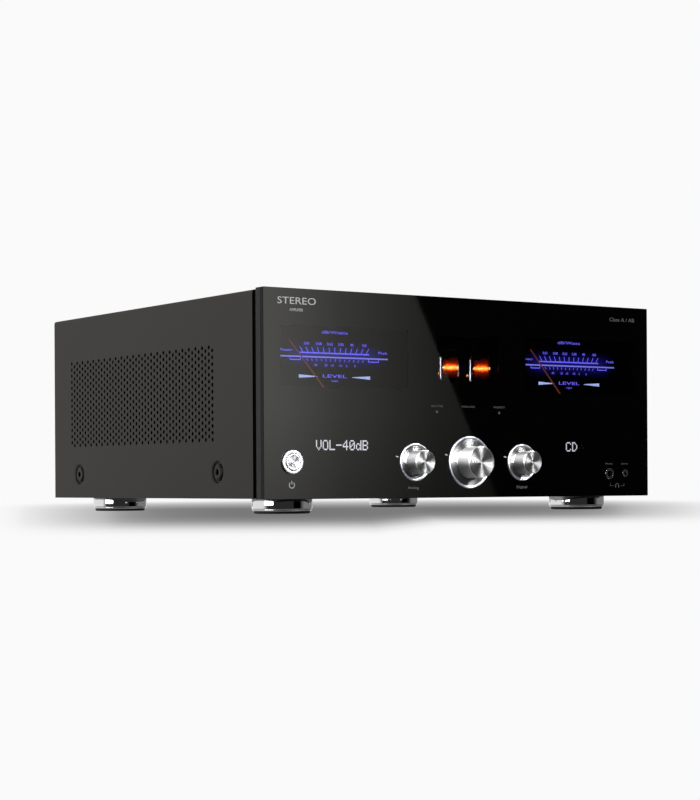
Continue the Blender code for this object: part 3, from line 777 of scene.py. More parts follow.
def make_knob(name, x, flange, body_r, reach):
    """A turned knob: a dished flange with a polished rim, and a body that stands out of it."""
    profile = [
        (0, reach), (body_r - 0.7, reach), (body_r, reach, 0.5), (body_r, reach - 0.9), (body_r, 2.6),
        (body_r, 1.9, 0.4), (body_r + 0.7, 1.88), (flange - 2.9, 1.72), (flange - 2.2, 1.7, 0.3),
        (flange - 1.3, 2.7, 0.5), (flange, 2.6, 1.1), (flange, 0.5, 0.4), (flange - 1.0, 0.3),
        (3.4, 0.3), (3.4, reach - 6), (0, reach - 6),
    ]

    def finish(r, h):
        if r > flange - 2.3:
            return 1
        return 2 if r > body_r - 0.6 and 2.4 < h <= reach - 0.05 else 0

    knob = lathe(f"{name}_dial", profile, (x, 0, KNOB_Z), "front", [TURNED, RIM, TURNED_SIDE], name, 128,
                 finish=finish, slot="turned_aluminium", replaces=(f"{name}_knob",))
    knob.visible_glossy = False


for knob in KNOBS:
    make_knob(*knob)

power_at = (POWER_X, 0, KNOB_Z)
ring = [(7.6, 2.2, 0.3), (9.8, 2.2, 0.5), (10.5, 1.5, 0.3), (10.5, 0.3), (9.0, 0.3), (9.0, -8), (7.6, -8)]
lathe("power_ring", ring, power_at, "front", BEZEL, closed=True, slot="satin_aluminium",
      replaces=("power_bezel",))
cap = [(0, 2.75), (5.4, 2.75, 0.3), (5.8, 3.0, 0.2), (7.0, 3.0, 0.5), (7.35, 2.4, 0.3), (7.35, -7), (2, -7),
       (2, -13), (0, -13)]
lathe("power_cap", cap, power_at, "front", [BUTTON, BEZEL], "power_button",
      finish=lambda r, h: 0 if r < 5.5 else 1, slot="satin_aluminium", replaces=("power_button",))

for name, x, z, flange, barrel, bore, depth in JACKS:
    points = [(0, 2.5 - depth), (bore, 2.5 - depth), (bore, 0.95, 0.25), (flange - 0.1, 1.0, 0.35),
              (flange, 0.3), (barrel, 0.3), (barrel, -depth), (0, -depth)]
    lathe(f"{name}_socket", points, (x, 0, z), "front", [NICKEL, MOULDED], segments=64,
          finish=lambda r, h, inner=bore: 1 if r <= inner + 0.01 and h < -1.2 else 0,
          slot="nickel_plate", replaces=(name,))
    bm = bmesh.new()
    for sign in (-1, 1):
        spring = x + sign * bore * 0.62
        box_into(bm, (spring - 0.25, spring + 0.25), (4.0, depth - 4), (z - 0.6, z + 0.6), 0.15)
    finish_piece(f"{name}_contacts", bm, NICKEL, slot="nickel_plate")


# ---------------------------------------------------------------- valves

# Each valve: side, x of its middle, and where its glowing rod stands, a painted highlight of the glass: x and
# y from the middle, z of the top.
TUBES = (("left", -14.5, (-9.0, -3.0, 125.7)), ("right", 20.5, (-9.3, -1.1, 124.5)))
TUBE_Y = 13.6
TUBE_BASE = 103.9
HEAT_Z = 116.9
HEAT_LEAN = math.radians(-34)
GLASS = surface("valve_glass_clear", (0.97, 0.96, 0.94), (300, 0.0, 0.02), ior=1.25, trans=1.0)
PLATE = surface("valve_plate", (0.035, 0.032, 0.03), (900, 0.4, 0.6), grain=(1500, 0.00003, 0.5), metal=0.6)
MICA = surface("mica", (0.25, 0.22, 0.17), tones=(900, (0.16, 0.14, 0.11), (0.3, 0.27, 0.21)), rough=0.4)
GETTER = surface("getter_mirror", (0.3, 0.29, 0.28), (200, 0.08, 0.3), metal=1.0)
# The rods' own light is a painted highlight: it stands for a lamp's streak reflected on each bulb's glass.
HIGHLIGHT_ROD = glowing("painted_highlight_rod", (0.85, 0.85, 1.0), LIT * 0.9, 0.8)
CORE = glowing("heater_core", (1.0, 0.5, 0.2), LIT * 1.7, uneven=0.3)
# The beads' light is a painted reflection: warm glints of the glow on the glass beside each rod.
GLINT_BEAD = glowing("painted_glint_bead", (1.0, 0.35, 0.06), LIT * 1.4, uneven=0.3)


def heat_material():
    """Metal that glows where the heater warms it: a white-hot line that fades to red above and below."""
    mat = principled("heated_metal", base=(0.02, 0.015, 0.012), metal=0.3, rough=0.5, power=LIT * 1.4)
    x, _, z = object_parts(mat)
    aside = x / 0.0105
    away = z / 0.0046
    tight = (z + noise(mat, 260, 2.0) * 0.0006) / 0.0015
    cloud = noise(mat, 420, 3.0) * 0.7 + 0.25
    heat = (away * away).fading() * cloud * 0.76 + (tight * tight).fading() * 0.56
    heat = heat * (aside * aside * -1.0 + 1.0)
    stops = ((0.0, 0), (1.0, (1.0, 0.48, 0.16)), (0.22, (0.1, 0.004, 0.0)), (0.45, (0.62, 0.06, 0.002)),
             (0.75, (1.0, 0.3, 0.02)))
    wire(ramp(mat, heat, *stops), shader_of(mat).inputs["Emission Color"])
    return mat


HEAT = heat_material()


def oval(flatness, power=1.0):
    return lambda a, r, h: r * (1 - flatness * abs(math.sin(a)) ** power)


def make_tube(side, cx, rod):
    """A valve: its bulb, the parts in it, and the parts that glow: the heated ones, and a rod and beads whose
    light is a painted highlight and painted glints of the glass.
    """
    at = (cx, TUBE_Y, TUBE_BASE)
    outer = [(0, 45.3), (1.0, 44.8), (1.5, 43.0, 0.8), (5.4, 41.0, 1.2), (8.6, 38.2, 1.2), (10.3, 35.0, 1.5),
             (10.9, 31.0, 1.5), (10.9, 2.6, 1.0), (10.3, 0.9, 0.5), (9.4, 0.05)]
    inner = [(9.0, 1.0), (9.6, 1.6, 0.4), (10.1, 3.0, 0.6), (10.1, 30.8, 1.5), (9.5, 34.5, 1.5),
             (7.9, 37.5, 1.2), (4.8, 40.1, 1.0), (0, 41.2)]
    lathe(f"tube_{side}_bulb", outer + inner, at, "up", GLASS, segments=64, sharp=60,
          slot="valve_glass", replaces=(f"tube_{side}",))

    base = [([(0, 2.6), (8.6, 2.6, 0.3), (9.0, 1.9, 0.3), (8.8, 0.3), (0, 0.3)], 48, (0, 0, 0))]
    for i in range(9):
        a = 2 * PI * (i + 0.5) / 10
        base.append((rod_points(0.35, 0, 3.4), 8, (5.6 * math.cos(a), 5.6 * math.sin(a), 2.5)))
    turned_parts(f"tube_{side}_base", MICA, base, at)
    wavy = lambda a, r, h: r * (1 + 0.03 * math.cos(8 * a))
    discs = [(rod_points(9.5, height - 0.35, height), 64, (0, 0, 0), wavy) for height in (5.6, 28.6)]
    turned_parts(f"tube_{side}_mica", MICA, discs, at)
    plates = [([(0, high), (radius, high, 0.4), (radius, low, 0.4), (0, low)], 48, (0, 0, 0), oval(0.22, 1.5))
              for radius, low, high in ((3.0, 6.0, 10.4), (6.4, 20.0, 28.2))]
    plates += [(rod_points(0.35, 3, 31), 12, (dx, dy, 0)) for dx in (-8.6, 8.6) for dy in (-1.2, 1.2)]
    turned_parts(f"tube_{side}_plates", PLATE, plates, at)
    getter = [([(0, 37.8), (4.4, 37.2, 0.5), (4.8, 36.6, 0.3), (4.4, 36.2), (0, 36.6)], 32, (0, 0, 0)),
              (rod_points(0.4, 28.6, 36.4), 12, (0, 0, 0))]
    turned_parts(f"tube_{side}_getter", GETTER, getter, at)

    wide, shift = (6.6, 2.7) if side == "left" else (7.0, 3.0)
    heart = (cx + shift, TUBE_Y - 2.0, HEAT_Z)
    cathode = [([(0, 9.5), (wide, 9.5, 0.8), (wide, -9.0, 0.8), (0, -9.0)], 48, (0, 0, 0), oval(0.34))]
    turned_parts(f"tube_{side}_cathode", HEAT, cathode, heart, turn=(0, 0, HEAT_LEAN))
    end = [(0, 0.9), (0.9, 0.9, 0.5), (0.9, -0.9, 0.5), (0, -0.9)]
    heater = [(end, 16, (t, -1.4, 0)) for t in (0.4 - wide, wide - 0.4)]
    turned_parts(f"tube_{side}_heater", CORE, heater, heart, turn=(0, 0, HEAT_LEAN))

    dx, dy, top = rod
    points = [(0, top), (0.42, top - 0.6), (0.42, top - 18.4), (0, top - 19)]
    turned_parts(f"tube_{side}_rod", HIGHLIGHT_ROD, [(points, 16, (cx + dx, TUBE_Y + dy, 0))])
    # Painted glints: two small glowing beads by the glass's left edge.
    bead = [(0, 0.8), (0.7, 0.8, 0.4), (0.7, -0.8, 0.4), (0, -0.8)]
    beads = [(bead, 16, (cx + dx, TUBE_Y + dy, z)) for dx, dy, z in ((-9.2, 3.1, 110.6), (-8.7, -0.3, 111.6))]
    turned_parts(f"tube_{side}_beads", GLINT_BEAD, beads)


for side, x, rod in TUBES:
    make_tube(side, x, rod)


# ---------------------------------------------------------------- cover

COVER_LOW, COVER_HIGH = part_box("top_cover")
COVER_Y = ((COVER_LOW.y - PANEL.y) / MM, (COVER_HIGH.y - PANEL.y) / MM)
COVER_Z = ((COVER_LOW.z - PANEL.z) / MM, (COVER_HIGH.z - PANEL.z) / MM)
BEND = 2.6
BEND_STEPS = 6
SIDE = COVER_Z[1] - COVER_Z[0] - BEND
ARC = PI / 2 * BEND
TOP = 2 * (HALF_W - BEND)
GIRTH = 2 * SIDE + 2 * ARC + TOP
PITCH = 6.0
COLUMNS = 48
VENT_Y = (86.0, 366.0)  # middles of the first and the last column
COLUMN_PITCH = (VENT_Y[1] - VENT_Y[0]) / (COLUMNS - 1)
VENT_R = 1.8
SIDE_VENT = (49.1 - COVER_Z[0], 136.1 - COVER_Z[0])
TOP_VENT_X = (-186.0, -123.0)
SCREW_Y = (78.0, 350.0)
SCREW_Z = 23.5
# The dish round each cover screw: radius and depth.
DISH = ((10.7, 0.0), (10.3, 0.07), (9.9, 0.3), (9.55, 0.8), (9.3, 1.6), (9.0, 2.05), (8.4, 2.2), (2.4, 2.2))
DISH_SIDES = 48
DISH_HALF = 12.0
SHEET_T = 1.2


def on_cover(s, y, depth=0.0):
    """A point of the bent sheet: s runs round it from the left side's lower edge."""
    mirrored = s > GIRTH / 2
    if mirrored:
        s = GIRTH - s
    if s <= SIDE:
        x, z, nx, nz = -HALF_W, COVER_Z[0] + s, -1.0, 0.0
    elif s < SIDE + ARC:
        a = (s - SIDE) / BEND
        nx, nz = -math.cos(a), math.sin(a)
        x = -HALF_W + BEND + nx * BEND
        z = COVER_Z[1] - BEND + nz * BEND
    else:
        x, z, nx, nz = -HALF_W + BEND + (s - SIDE - ARC), COVER_Z[1], 0.0, 1.0
    x, z = x - nx * depth, z - nz * depth
    return panel(-x if mirrored else x, y, z)


def steps(low, high, count):
    return [low + (high - low) * i / count for i in range(count + 1)]


def make_cover():
    """One folded sheet with its punched fields of round holes and the dishes pressed for its screws."""
    bm = bmesh.new()
    layer = bm.verts.layers.float.new("depth")
    known = {}

    def vert(s, y, depth=0.0):
        key = (round(s, 3), round(y, 3), round(depth, 3))
        if key not in known:
            known[key] = bm.verts.new((s, y, 0))
            known[key][layer] = depth
        return known[key]

    def flat_cell(s0, s1, y0, y1):
        bm.faces.new((vert(s0, y0), vert(s1, y0), vert(s1, y1), vert(s0, y1)))

    top_start = SIDE + ARC + (TOP_VENT_X[0] + HALF_W - BEND)
    top_vent = (top_start, top_start + TOP_VENT_X[1] - TOP_VENT_X[0])
    fields = [SIDE_VENT, top_vent]
    fields += [(GIRTH - high, GIRTH - low) for low, high in fields]
    dish_s = SCREW_Z - COVER_Z[0]
    dishes = [(s, y) for s in (dish_s, GIRTH - dish_s) for y in SCREW_Y]

    ss = {0.0, GIRTH, GIRTH / 2}
    for low, high in fields:
        ss.update(steps(low, high, round((high - low) / PITCH * 2)))
    for low in (SIDE, GIRTH - SIDE - ARC):
        ss.update(steps(low, low + ARC, BEND_STEPS))
    for s, _ in dishes:
        ss.update((s - DISH_HALF, s + DISH_HALF))
    ss = sorted({round(s, 3) for s in ss})
    columns = steps(VENT_Y[0] - COLUMN_PITCH / 2, VENT_Y[1] + COLUMN_PITCH / 2, COLUMNS)
    ys = set(columns) | set(COVER_Y)
    for _, y in dishes:
        ys.update((y - DISH_HALF, y + DISH_HALF))
    ys = sorted({round(y, 3) for y in ys})

    def in_field(s, y):
        return columns[0] < y < columns[-1] and any(low < s < high for low, high in fields)

    def in_dish(s, y):
        return any(abs(s - ds) < DISH_HALF and abs(y - dy) < DISH_HALF for ds, dy in dishes)

    for s0, s1 in zip(ss, ss[1:]):
        for y0, y1 in zip(ys, ys[1:]):
            middle = ((s0 + s1) / 2, (y0 + y1) / 2)
            if not in_field(*middle) and not in_dish(*middle):
                flat_cell(s0, s1, y0, y1)

    # A hole has 14 corners. The second row says which of them the cell's six outer points lead to.
    hole_angles = (135, 157.5, 180, 202.5, 225, 255, 285, 315, 337.5, 0, 22.5, 45, 75, 105)
    links = (0, 2, 4, 7, 9, 11)
    for low, high in fields:
        rows = int((high - low) / PITCH)
        for column, (y0, y1) in enumerate(zip(columns, columns[1:])):
            shifted = column % 2 == 0
            start = low if shifted else high - rows * PITCH
            if high - low - rows * PITCH > 0.1:
                s0 = high - PITCH / 2 if shifted else low
                flat_cell(s0, s0 + PITCH / 2, y0, y1)
            for row in range(rows):
                s0 = start + row * PITCH
                s1, middle = s0 + PITCH, s0 + PITCH / 2
                edge = [vert(s, y0) for s in (s1, middle, s0)] + [vert(s, y1) for s in (s0, middle, s1)]
                centre_y = (y0 + y1) / 2
                ring = []
                for degrees in hole_angles:
                    a = math.radians(degrees)
                    spot = (middle + VENT_R * math.sin(a), centre_y + VENT_R * math.cos(a), 0)
                    ring.append(bm.verts.new(spot))
                for k, begin in enumerate(links):
                    after = (k + 1) % len(links)
                    stop = links[after] if after else len(ring)
                    span = [ring[i % len(ring)] for i in range(begin, stop + 1)]
                    bm.faces.new([edge[k], edge[after]] + span[::-1])

    for ds, dy in dishes:
        border = [e for e in bm.edges if len(e.link_faces) == 1 and all(
            abs(v.co.x - ds) < DISH_HALF + 0.01 and abs(v.co.y - dy) < DISH_HALF + 0.01 for v in e.verts)]
        turns = [2 * PI * i / DISH_SIDES for i in range(DISH_SIDES)]
        rings = [[vert(ds + radius * math.cos(a), dy + radius * math.sin(a), depth) for a in turns]
                 for radius, depth in DISH]
        circle = [bm.edges.new((rings[0][i], rings[0][(i + 1) % DISH_SIDES])) for i in range(DISH_SIDES)]
        bmesh.ops.triangle_fill(bm, use_beauty=True, edges=border + circle)
        for a, b in zip(rings, rings[1:]):
            join_rings(bm, a, b)

    bmesh.ops.recalc_face_normals(bm, faces=bm.faces)
    for v in bm.verts:
        v.co = on_cover(v.co.x, v.co.y, v[layer])
    bm.normal_update()
    bm.faces.ensure_lookup_table()
    if bm.faces[0].normal.x > 0:
        bmesh.ops.reverse_faces(bm, faces=bm.faces)
    mesh = bpy.data.meshes.new("perforated_cover")
    bm.to_mesh(mesh)
    bm.free()
    mesh.materials.append(COVER)
    mesh.materials.append(HOLE_SHADE)
    blank = linked("blank", mesh)
    sheet = blank.modifiers.new("sheet", "SOLIDIFY")
    sheet.thickness = SHEET_T * MM
    sheet.offset = -1.0
    # The inner side and the cut edges take the darker material, which paints shade into the holes.
    sheet.material_offset = 1
    sheet.material_offset_rim = 1
    folded = evaluated_mesh(blank)
    folded.shade_smooth()
    folded.set_sharp_from_angle(angle=math.radians(30))
    obj = linked("perforated_cover", folded)
    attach(obj, "case")
    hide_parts("top_cover")


def make_cover_screw(row, side, y):
    """A round head with a hexagonal socket."""
    key = 2.5

    def wave(angle, r, h):
        return key / math.cos((angle + PI / 6) % (PI / 3) - PI / 6) if abs(r - key) < TINY else r

    profile = [
        (0, -1.7), (key, -1.7), (key, -0.25), (3.1, -0.1), (5.4, -0.1, 0.6), (7.4, -0.9, 0.5), (7.4, -1.9),
        (1.9, -1.9), (1.9, -10), (0, -10),
    ]
    x = HALF_W if side == "right" else -HALF_W
    name = f"cover_screw_{row}_{side}"
    lathe(f"{name}_head", profile, (x, y, SCREW_Z), side, BLACK_STEEL, segments=48, wave=wave,
          slot="black_oxide_steel", replaces=(name,))


make_cover()
for row, y in zip(("front", "rear"), SCREW_Y):
    for side in ("left", "right"):
        make_cover_screw(row, side, y)


# ---------------------------------------------------------------- feet

FOOT_SHELL = [
    (0, 0.2), (26.5, 0.2, 0.6), (26.5, -8.6, 0.5), (25.9, -9.0, 0.3), (26.1, -9.5, 0.3), (25.4, -10.5, 0.4),
    (24.9, -10.5), (24.9, -7.5), (0, -7.5),
]
FOOT_PAD = [
    (0, -7.8), (24.6, -7.8), (24.6, -11.8, 0.4), (23.6, -12.8, 0.6), (15.0, -12.8), (14.4, -12.3), (0, -12.3),
]
for row, y in (("front", 49.0), ("rear", 357.0)):
    for side, x in (("left", -167.0), ("right", 167.0)):
        lathe(f"foot_{row}_{side}_chrome", FOOT_SHELL, (x, y, 0), "up", CHROME, slot="chrome",
              replaces=(f"foot_shell_{row}_{side}",))
        lathe(f"foot_{row}_{side}_rubber", FOOT_PAD, (x, y, 0), "up", RUBBER, slot="rubber_black",
              replaces=(f"foot_pad_{row}_{side}",))


# ---------------------------------------------------------------- rear

INLET = (-155.0, 30.0)
ROCKER_X = -141.5
ROCKER_TILT = math.radians(8)
POST_X = (-48.0, -20.0, 20.0, 48.0)
POST_Z = 35.0
RCA_X = (101.0, 125.0, 149.0, 173.0)
RCA_Z = (80.0, 100.0)
SEAT = REAR + 0.3
PLATE_FACE = REAR + 2.0
BEZEL_FACE = REAR + 2.3
TERMINAL_FACE = REAR + 2.5
DATA_WINDOW = ((-52, -43.4), (90, 97.8))
OPTICAL_WINDOW = ((-30, -21.8), (90, 98))
COAXIAL = (5, 94)


def facing_back(x, y, z):
    return Matrix.Translation(panel(x, y, z)) @ Matrix.Rotation(-PI / 2, 4, "X")


def dome_screw_into(bm, x, y, z, radius=2.7, rise=1.6):
    """A small cross-head screw on the rear."""
    shape = ((0, 0.45), (0.28, 0.45), (0.36, 1), (0.75, 0.75), (1, 0.15), (1, 0))
    lathe_into(bm, [(r * radius, h * rise) for r, h in shape], 24, matrix=facing_back(x, y, z))


def ring_into(bm, points, segments, x, z):
    """A turned ring on the rear panel, from a closed profile."""
    lathe_into(bm, rounded(points, 3, True), segments, True, matrix=facing_back(x, REAR, z))


def frame_into(bm, xs, zs, wall, radii, y_front, y_back):
    """A wall round a rectangular opening. Its radii are those outside and inside."""
    outlines = [rect_points(grown(xs, wall), grown(zs, wall), radii[0]), rect_points(xs, zs, radii[1])]
    plate_into(bm, outlines, y_front, y_back)


def plastic_plate(name, bm, replaced):
    finish_piece(name, bm, MOULDED, slot="socket_plastic", replaces=(replaced,))


def make_inlet():
    bm = bmesh.new()
    cx, cz = INLET
    socket = ((cx - 25, cx), (cz - 8.25, cz + 8.25))
    switch = ((ROCKER_X - 7, ROCKER_X + 7), (cz - 10.6, cz + 10.6))
    edge = rect_points((cx - 30, cx + 26), (cz - 15, cz + 15), 3)
    plate_into(bm, [edge, rect_points(*socket, 1.5), rect_points(*switch, 0.8)], SEAT, BEZEL_FACE)
    for (xs, zs), floor in ((socket, 392.0), (switch, 396.0)):
        frame_into(bm, xs, zs, 1, (1.5, 1.0), floor, SEAT)
        box_into(bm, grown(xs, 1), (floor - 1.5, floor), grown(zs, 1))
    plastic_plate("inlet_bezel", bm, "mains_inlet")
    bm = bmesh.new()
    for dx, dz in ((-7, -2.2), (7, -2.2), (0, 2.6)):
        x, z = cx - 12.5 + dx, cz + dz
        box_into(bm, (x - 1, x + 1), (391, 402), (z - 2, z + 2), 0.5)
    finish_piece("inlet_pins", bm, NICKEL)
    bm = bmesh.new()
    for x in (cx - 27.7, cx + 23.4):
        for z in (cz + 12.3, cz - 12.3):
            dome_screw_into(bm, x, REAR + 2.2, z, 1.9, 1.0)
    finish_piece("inlet_screws", bm, BLACK_STEEL)


def make_rocker():
    """The mains switch's rocker, with the two usual signs on its halves."""
    half_w, end, rest, peak = 6.6, 9.0, 4.1, 6.2
    corners = [(-8.4, -2.5, 0.5), (8.4, -2.5, 0.5), (end, peak, 0.8), (0, rest, 4.0), (-end, peak, 0.8)]
    outline = rounded(corners, 6, True)
    bm = bmesh.new()
    front, back = [[bm.verts.new((x * MM, h * MM, r * MM)) for r, h in outline] for x in (-half_w, half_w)]
    edges = list({e for cap in solid_between(bm, front, back) for e in cap.edges})
    bmesh.ops.bevel(bm, geom=edges, offset=0.35 * MM, segments=2, affect="EDGES", profile=0.5)
    place = {"centre": panel(ROCKER_X, 402.5, INLET[1]), "turn": (ROCKER_TILT, 0, 0)}
    finish_piece("rocker_cap", bm, MOULDED, "rocker", "socket_plastic", sharp=35,
                 replaces=("mains_rocker",), **place)
    letters = bmesh.new()
    for words, z in (("I", 5.0), ("O", -5.0)):
        text_into(letters, words, 0, z, 3.4, 0.0, None, depth=0.08, back=True)
    for v in letters.verts:
        local = (v.co - PANEL) / MM
        slope = rest + (peak - rest) * abs(local.z) / end
        v.co = Vector((local.x, local.y + slope + 0.02, local.z)) * MM
    finish_piece("rocker_signs", letters, REAR_PRINT, "rocker", **place)


def make_terminals():
    bm = bmesh.new()
    outlines = [rect_points((-66, 66), (18, 52), 3)] + [circle_points(x, POST_Z, 6.0) for x in POST_X]
    plate_into(bm, outlines, SEAT, TERMINAL_FACE)
    box_into(bm, (-62, 62), (REAR - 8, REAR + 0.4), (22, 48), 0.8)
    plastic_plate("terminal_plate", bm, "speaker_terminal_plate")
    stud = [(0, 22), (3.0, 22, 0.4), (3.0, 7), (6.4, 7, 0.5), (6.4, 1.2), (0, 1.2)]
    cap = [
        (1.9, 25), (7.2, 25, 0.6), (8.0, 24.0, 0.5), (8.0, 21.2, 0.2), (7.7, 20.4), (7.7, 9.6),
        (8.0, 8.8, 0.2), (8.0, 7.6, 0.3), (3.3, 7.4), (3.3, 22.4), (1.9, 22.4),
    ]

    def ridges(a, r, h):
        return r - 0.28 * (0.5 + 0.5 * math.cos(28 * a)) if r > 7.6 and 9.5 < h < 20.5 else r

    for number, x in enumerate(POST_X, 1):
        at = (x, REAR, POST_Z)
        lathe(f"terminal_post_{number}", stud, at, "back", GOLD, segments=48)
        plastic = RED_PLASTIC if number in (1, 4) else MOULDED
        lathe(f"terminal_cap_{number}_knurl", cap, at, "back", [GOLD, plastic], f"terminal_cap_{number}", 168,
              closed=True, finish=lambda r, h: 1 if 20.6 < h < 24.3 and r > 6.5 else 0, wave=ridges,
              slot="plated_brass", replaces=(f"speaker_terminal_cap_{number}",))


def make_phono():
    bm = bmesh.new()
    xs, zs = grown((RCA_X[0], RCA_X[-1]), 13), grown(RCA_Z, 11)
    plate_into(bm, [rect_points(xs, zs, 2)], SEAT, PLATE_FACE)
    box_into(bm, grown(xs, -3), (REAR - 10, REAR + 0.4), grown(zs, -3), 0.8)
    plastic_plate("phono_plate", bm, "rca_block")
    shell = [(1.75, 10, 0.2), (4.1, 10, 0.5), (4.1, 3.2, 0.2), (3.6, 3.0), (3.6, 1.6), (5.6, 1.6, 0.2),
             (5.6, 2.0), (1.75, 2.0)]
    for row, z in enumerate(RCA_Z, 1):
        shells = bmesh.new()
        collars = bmesh.new()
        for x in RCA_X:
            ring_into(shells, shell, 40, x, z)
            ring_into(collars, [(3.3, 9.4), (1.7, 9.4, 0.2), (1.7, 2.2), (3.3, 2.2)], 32, x, z)
            ring_into(collars, [(5.9, 2.0), (7.6, 2.0), (7.6, 2.5, 0.3), (5.9, 2.5, 0.3)], 40, x, z)
        finish_piece(f"phono_shells_{row}", shells, NICKEL)
        finish_piece(f"phono_collars_{row}", collars, RED_PLASTIC if row == 1 else WHITE_PLASTIC)


def make_digital():
    bm = bmesh.new()
    outlines = [rect_points((-62, 22), (82, 106), 2), rect_points(*DATA_WINDOW, 0.6),
                rect_points(*OPTICAL_WINDOW, 0.8), circle_points(*COAXIAL, 3.6)]
    plate_into(bm, outlines, SEAT, PLATE_FACE)
    box_into(bm, (-59, 19), (REAR - 14, REAR - 9.6), (85, 103), 0.8)
    for xs, zs in (DATA_WINDOW, OPTICAL_WINDOW):
        frame_into(bm, xs, zs, 1.5, (0.6, 0.5), REAR - 9.8, SEAT)
    plastic_plate("digital_plate", bm, "digital_block")
    bm = bmesh.new()
    frame_into(bm, (-51.5, -43.9), (90.5, 97.3), 0.4, (0.8, 0.6), REAR - 9, REAR + 2.6)
    shell = [(1.75, 10, 0.2), (4.1, 10, 0.5), (4.1, 2.0), (5.6, 2.0), (5.6, 1.0), (1.75, 1.0)]
    ring_into(bm, shell, 40, *COAXIAL)
    finish_piece("digital_shells", bm, NICKEL)
    bm = bmesh.new()
    box_into(bm, (-49.6, -45.8), (REAR - 9, REAR + 0.6), (92.6, 95.4), 0.3)
    box_into(bm, (-29.8, -22.0), (REAR - 6.6, REAR - 6.0), (90.3, 97.7), 0.2)
    finish_piece("digital_inserts", bm, MOULDED)


def make_rear_print():
    """Generic words, the frames round the groups of sockets, and the rear's screws."""
    bm = bmesh.new()
    titles = (("SPEAKERS  4 - 8 ohm", 0, 59), ("ANALOG IN", 137, 117), ("DIGITAL IN", -20, 112),
              ("AC IN", -157, 51))
    for height, labels in (
        (3.2, titles),
        (3.4, [(sign, x, 14.5) for x, sign in zip(POST_X, "+--+")]),
        (2.6, (("LEFT", 34, 14.5), ("RIGHT", -34, 14.5))),
        (2.8, [(name, x, 64.5) for x, name in zip(RCA_X, ("1", "2", "3", "OUT"))]),
        (3.0, (("R", 83, RCA_Z[0]), ("L", 83, RCA_Z[1]))),
        (2.2, (("DATA", -47.7, 77.5), ("OPTICAL", -25.9, 77.5), ("COAXIAL", 5, 77.5))),
    ):
        for words, x, z in labels:
            text_into(bm, words, x, z, height, REAR, None, back=True, depth=0.08)
    for xs, zs in (((-72, 72), (9.5, 64)), ((78, 192), (60, 122)), ((-68, 28), (73, 117))):
        frame_into(bm, grown(xs, -0.4), grown(zs, -0.4), 0.4, (3, 2.6), REAR - 0.02, REAR + 0.07)
    finish_piece("rear_print", bm, REAR_PRINT)
    bm = bmesh.new()
    for side in (-1, 1):
        for x, z in ((205, 12), (205, 165), (120, 165), (40, 165), (205, 90), (95, 12)):
            dome_screw_into(bm, side * x, REAR, z)
    for x in (92.0, 137.0, 182.0):
        dome_screw_into(bm, x, PLATE_FACE, 90, 1.8, 1.0)
    finish_piece("rear_screws", bm, BLACK_STEEL)


make_inlet()
make_rocker()
make_terminals()
make_phono()
make_digital()
make_rear_print()


# ---------------------------------------------------------------- studio

def plain_object(name, bm, mat):
    mesh = bpy.data.meshes.new(name)
    bm.to_mesh(mesh)
    bm.free()
    mesh.materials.append(mat)
    obj = linked(name, mesh)
    return obj


SHADOW_TURN = math.radians(33.7)
BACKDROP = 0.955
DARKEST = 0.765


def make_floor():
    """A pale floor as bright as the backdrop, with the soft shadow that lies under and before the case."""
    mat = principled("floor", base=0, rough=0.6, spec=0.0, power=BACKDROP)
    x, y, _ = object_parts(mat)

    def along(angle, offset):
        """How far a point lies along a direction on the floor."""
        return x * math.sin(angle) + y * math.cos(angle) + offset

    def profile(value, *points):
        curve = node(mat, "ShaderNodeFloatCurve")
        spots = curve.mapping.curves[0].points
        for spot, place in zip(spots, (points[0], points[-1])):
            spot.location = place
        for place in points[1:-1]:
            spots.new(*place)
        curve.mapping.extend = "HORIZONTAL"
        curve.mapping.update()
        wire(value, curve.inputs["Value"])
        return Term(curve.outputs["Value"])

    crosswise = SHADOW_TURN + PI / 2
    depth = along(SHADOW_TURN, 1.948)
    across = abs(along(crosswise, -0.007) / depth + -0.008)
    side = along(crosswise, -0.022) / 0.045
    shift = side.work("MAXIMUM", 0.0).work("MINIMUM", 1.0) * 0.2
    near = profile((depth - shift) / 4.0, (0.0, 0.0), (0.235, 0.0), (0.27, 0.15), (0.3, 0.44),
                   (0.33, 0.72), (0.37, 0.92), (0.43, 1.0), (1.0, 1.0))
    far = profile(depth / 4.0, (0.0, 1.0), (0.5, 1.0), (0.55, 0.9), (0.625, 0.7), (0.7, 0.5),
                  (0.8, 0.25), (0.92, 0.0), (1.0, 0.0))
    wide = profile(across * 4.0, (0.0, 1.0), (0.36, 0.97), (0.46, 0.88), (0.54, 0.6), (0.62, 0.38),
                   (0.68, 0.2), (0.74, 0.03), (0.8, 0.0), (1.0, 0.0))
    behind = (depth - 1.75) / 1.6
    beside = along(crosswise, 0.0) / 0.7
    bounds = profile(behind * behind + beside * beside,
                     (0.0, 1.0), (0.3, 1.0), (0.55, 0.8), (0.8, 0.25), (1.0, 0.0))
    dark = near * far * (wide * DARKEST) * bounds
    wire(ramp(mat, dark, (0.0, 1), (1.0, 0)), shader_of(mat).inputs["Emission Color"])
    bm = bmesh.new()
    bmesh.ops.create_grid(bm, x_segments=8, y_segments=8, size=12.0)
    floor = plain_object("floor", bm, mat)
    floor.visible_glossy = False
    floor.location = (0, 0, -0.0002)


def lights_only(source, *names):
    """Lets a lamp or a card shine on the named pieces alone."""
    lit = bpy.data.collections.new(f"{source.name}_receivers")
    for name in names:
        lit.objects.link(bpy.data.objects[name])
    source.light_linking.receiver_collection = lit


def area_light(name, centre, target, width, height, power):
    lamp = bpy.data.lights.new(name, "AREA")
    lamp.shape = "RECTANGLE"
    lamp.size = width
    lamp.size_y = height
    lamp.energy = power
    obj = linked(name, lamp)
    obj.location = centre
    obj.rotation_euler = (Vector(target) - Vector(centre)).to_track_quat("-Z", "Y").to_euler()
    obj.visible_camera = False
    return obj


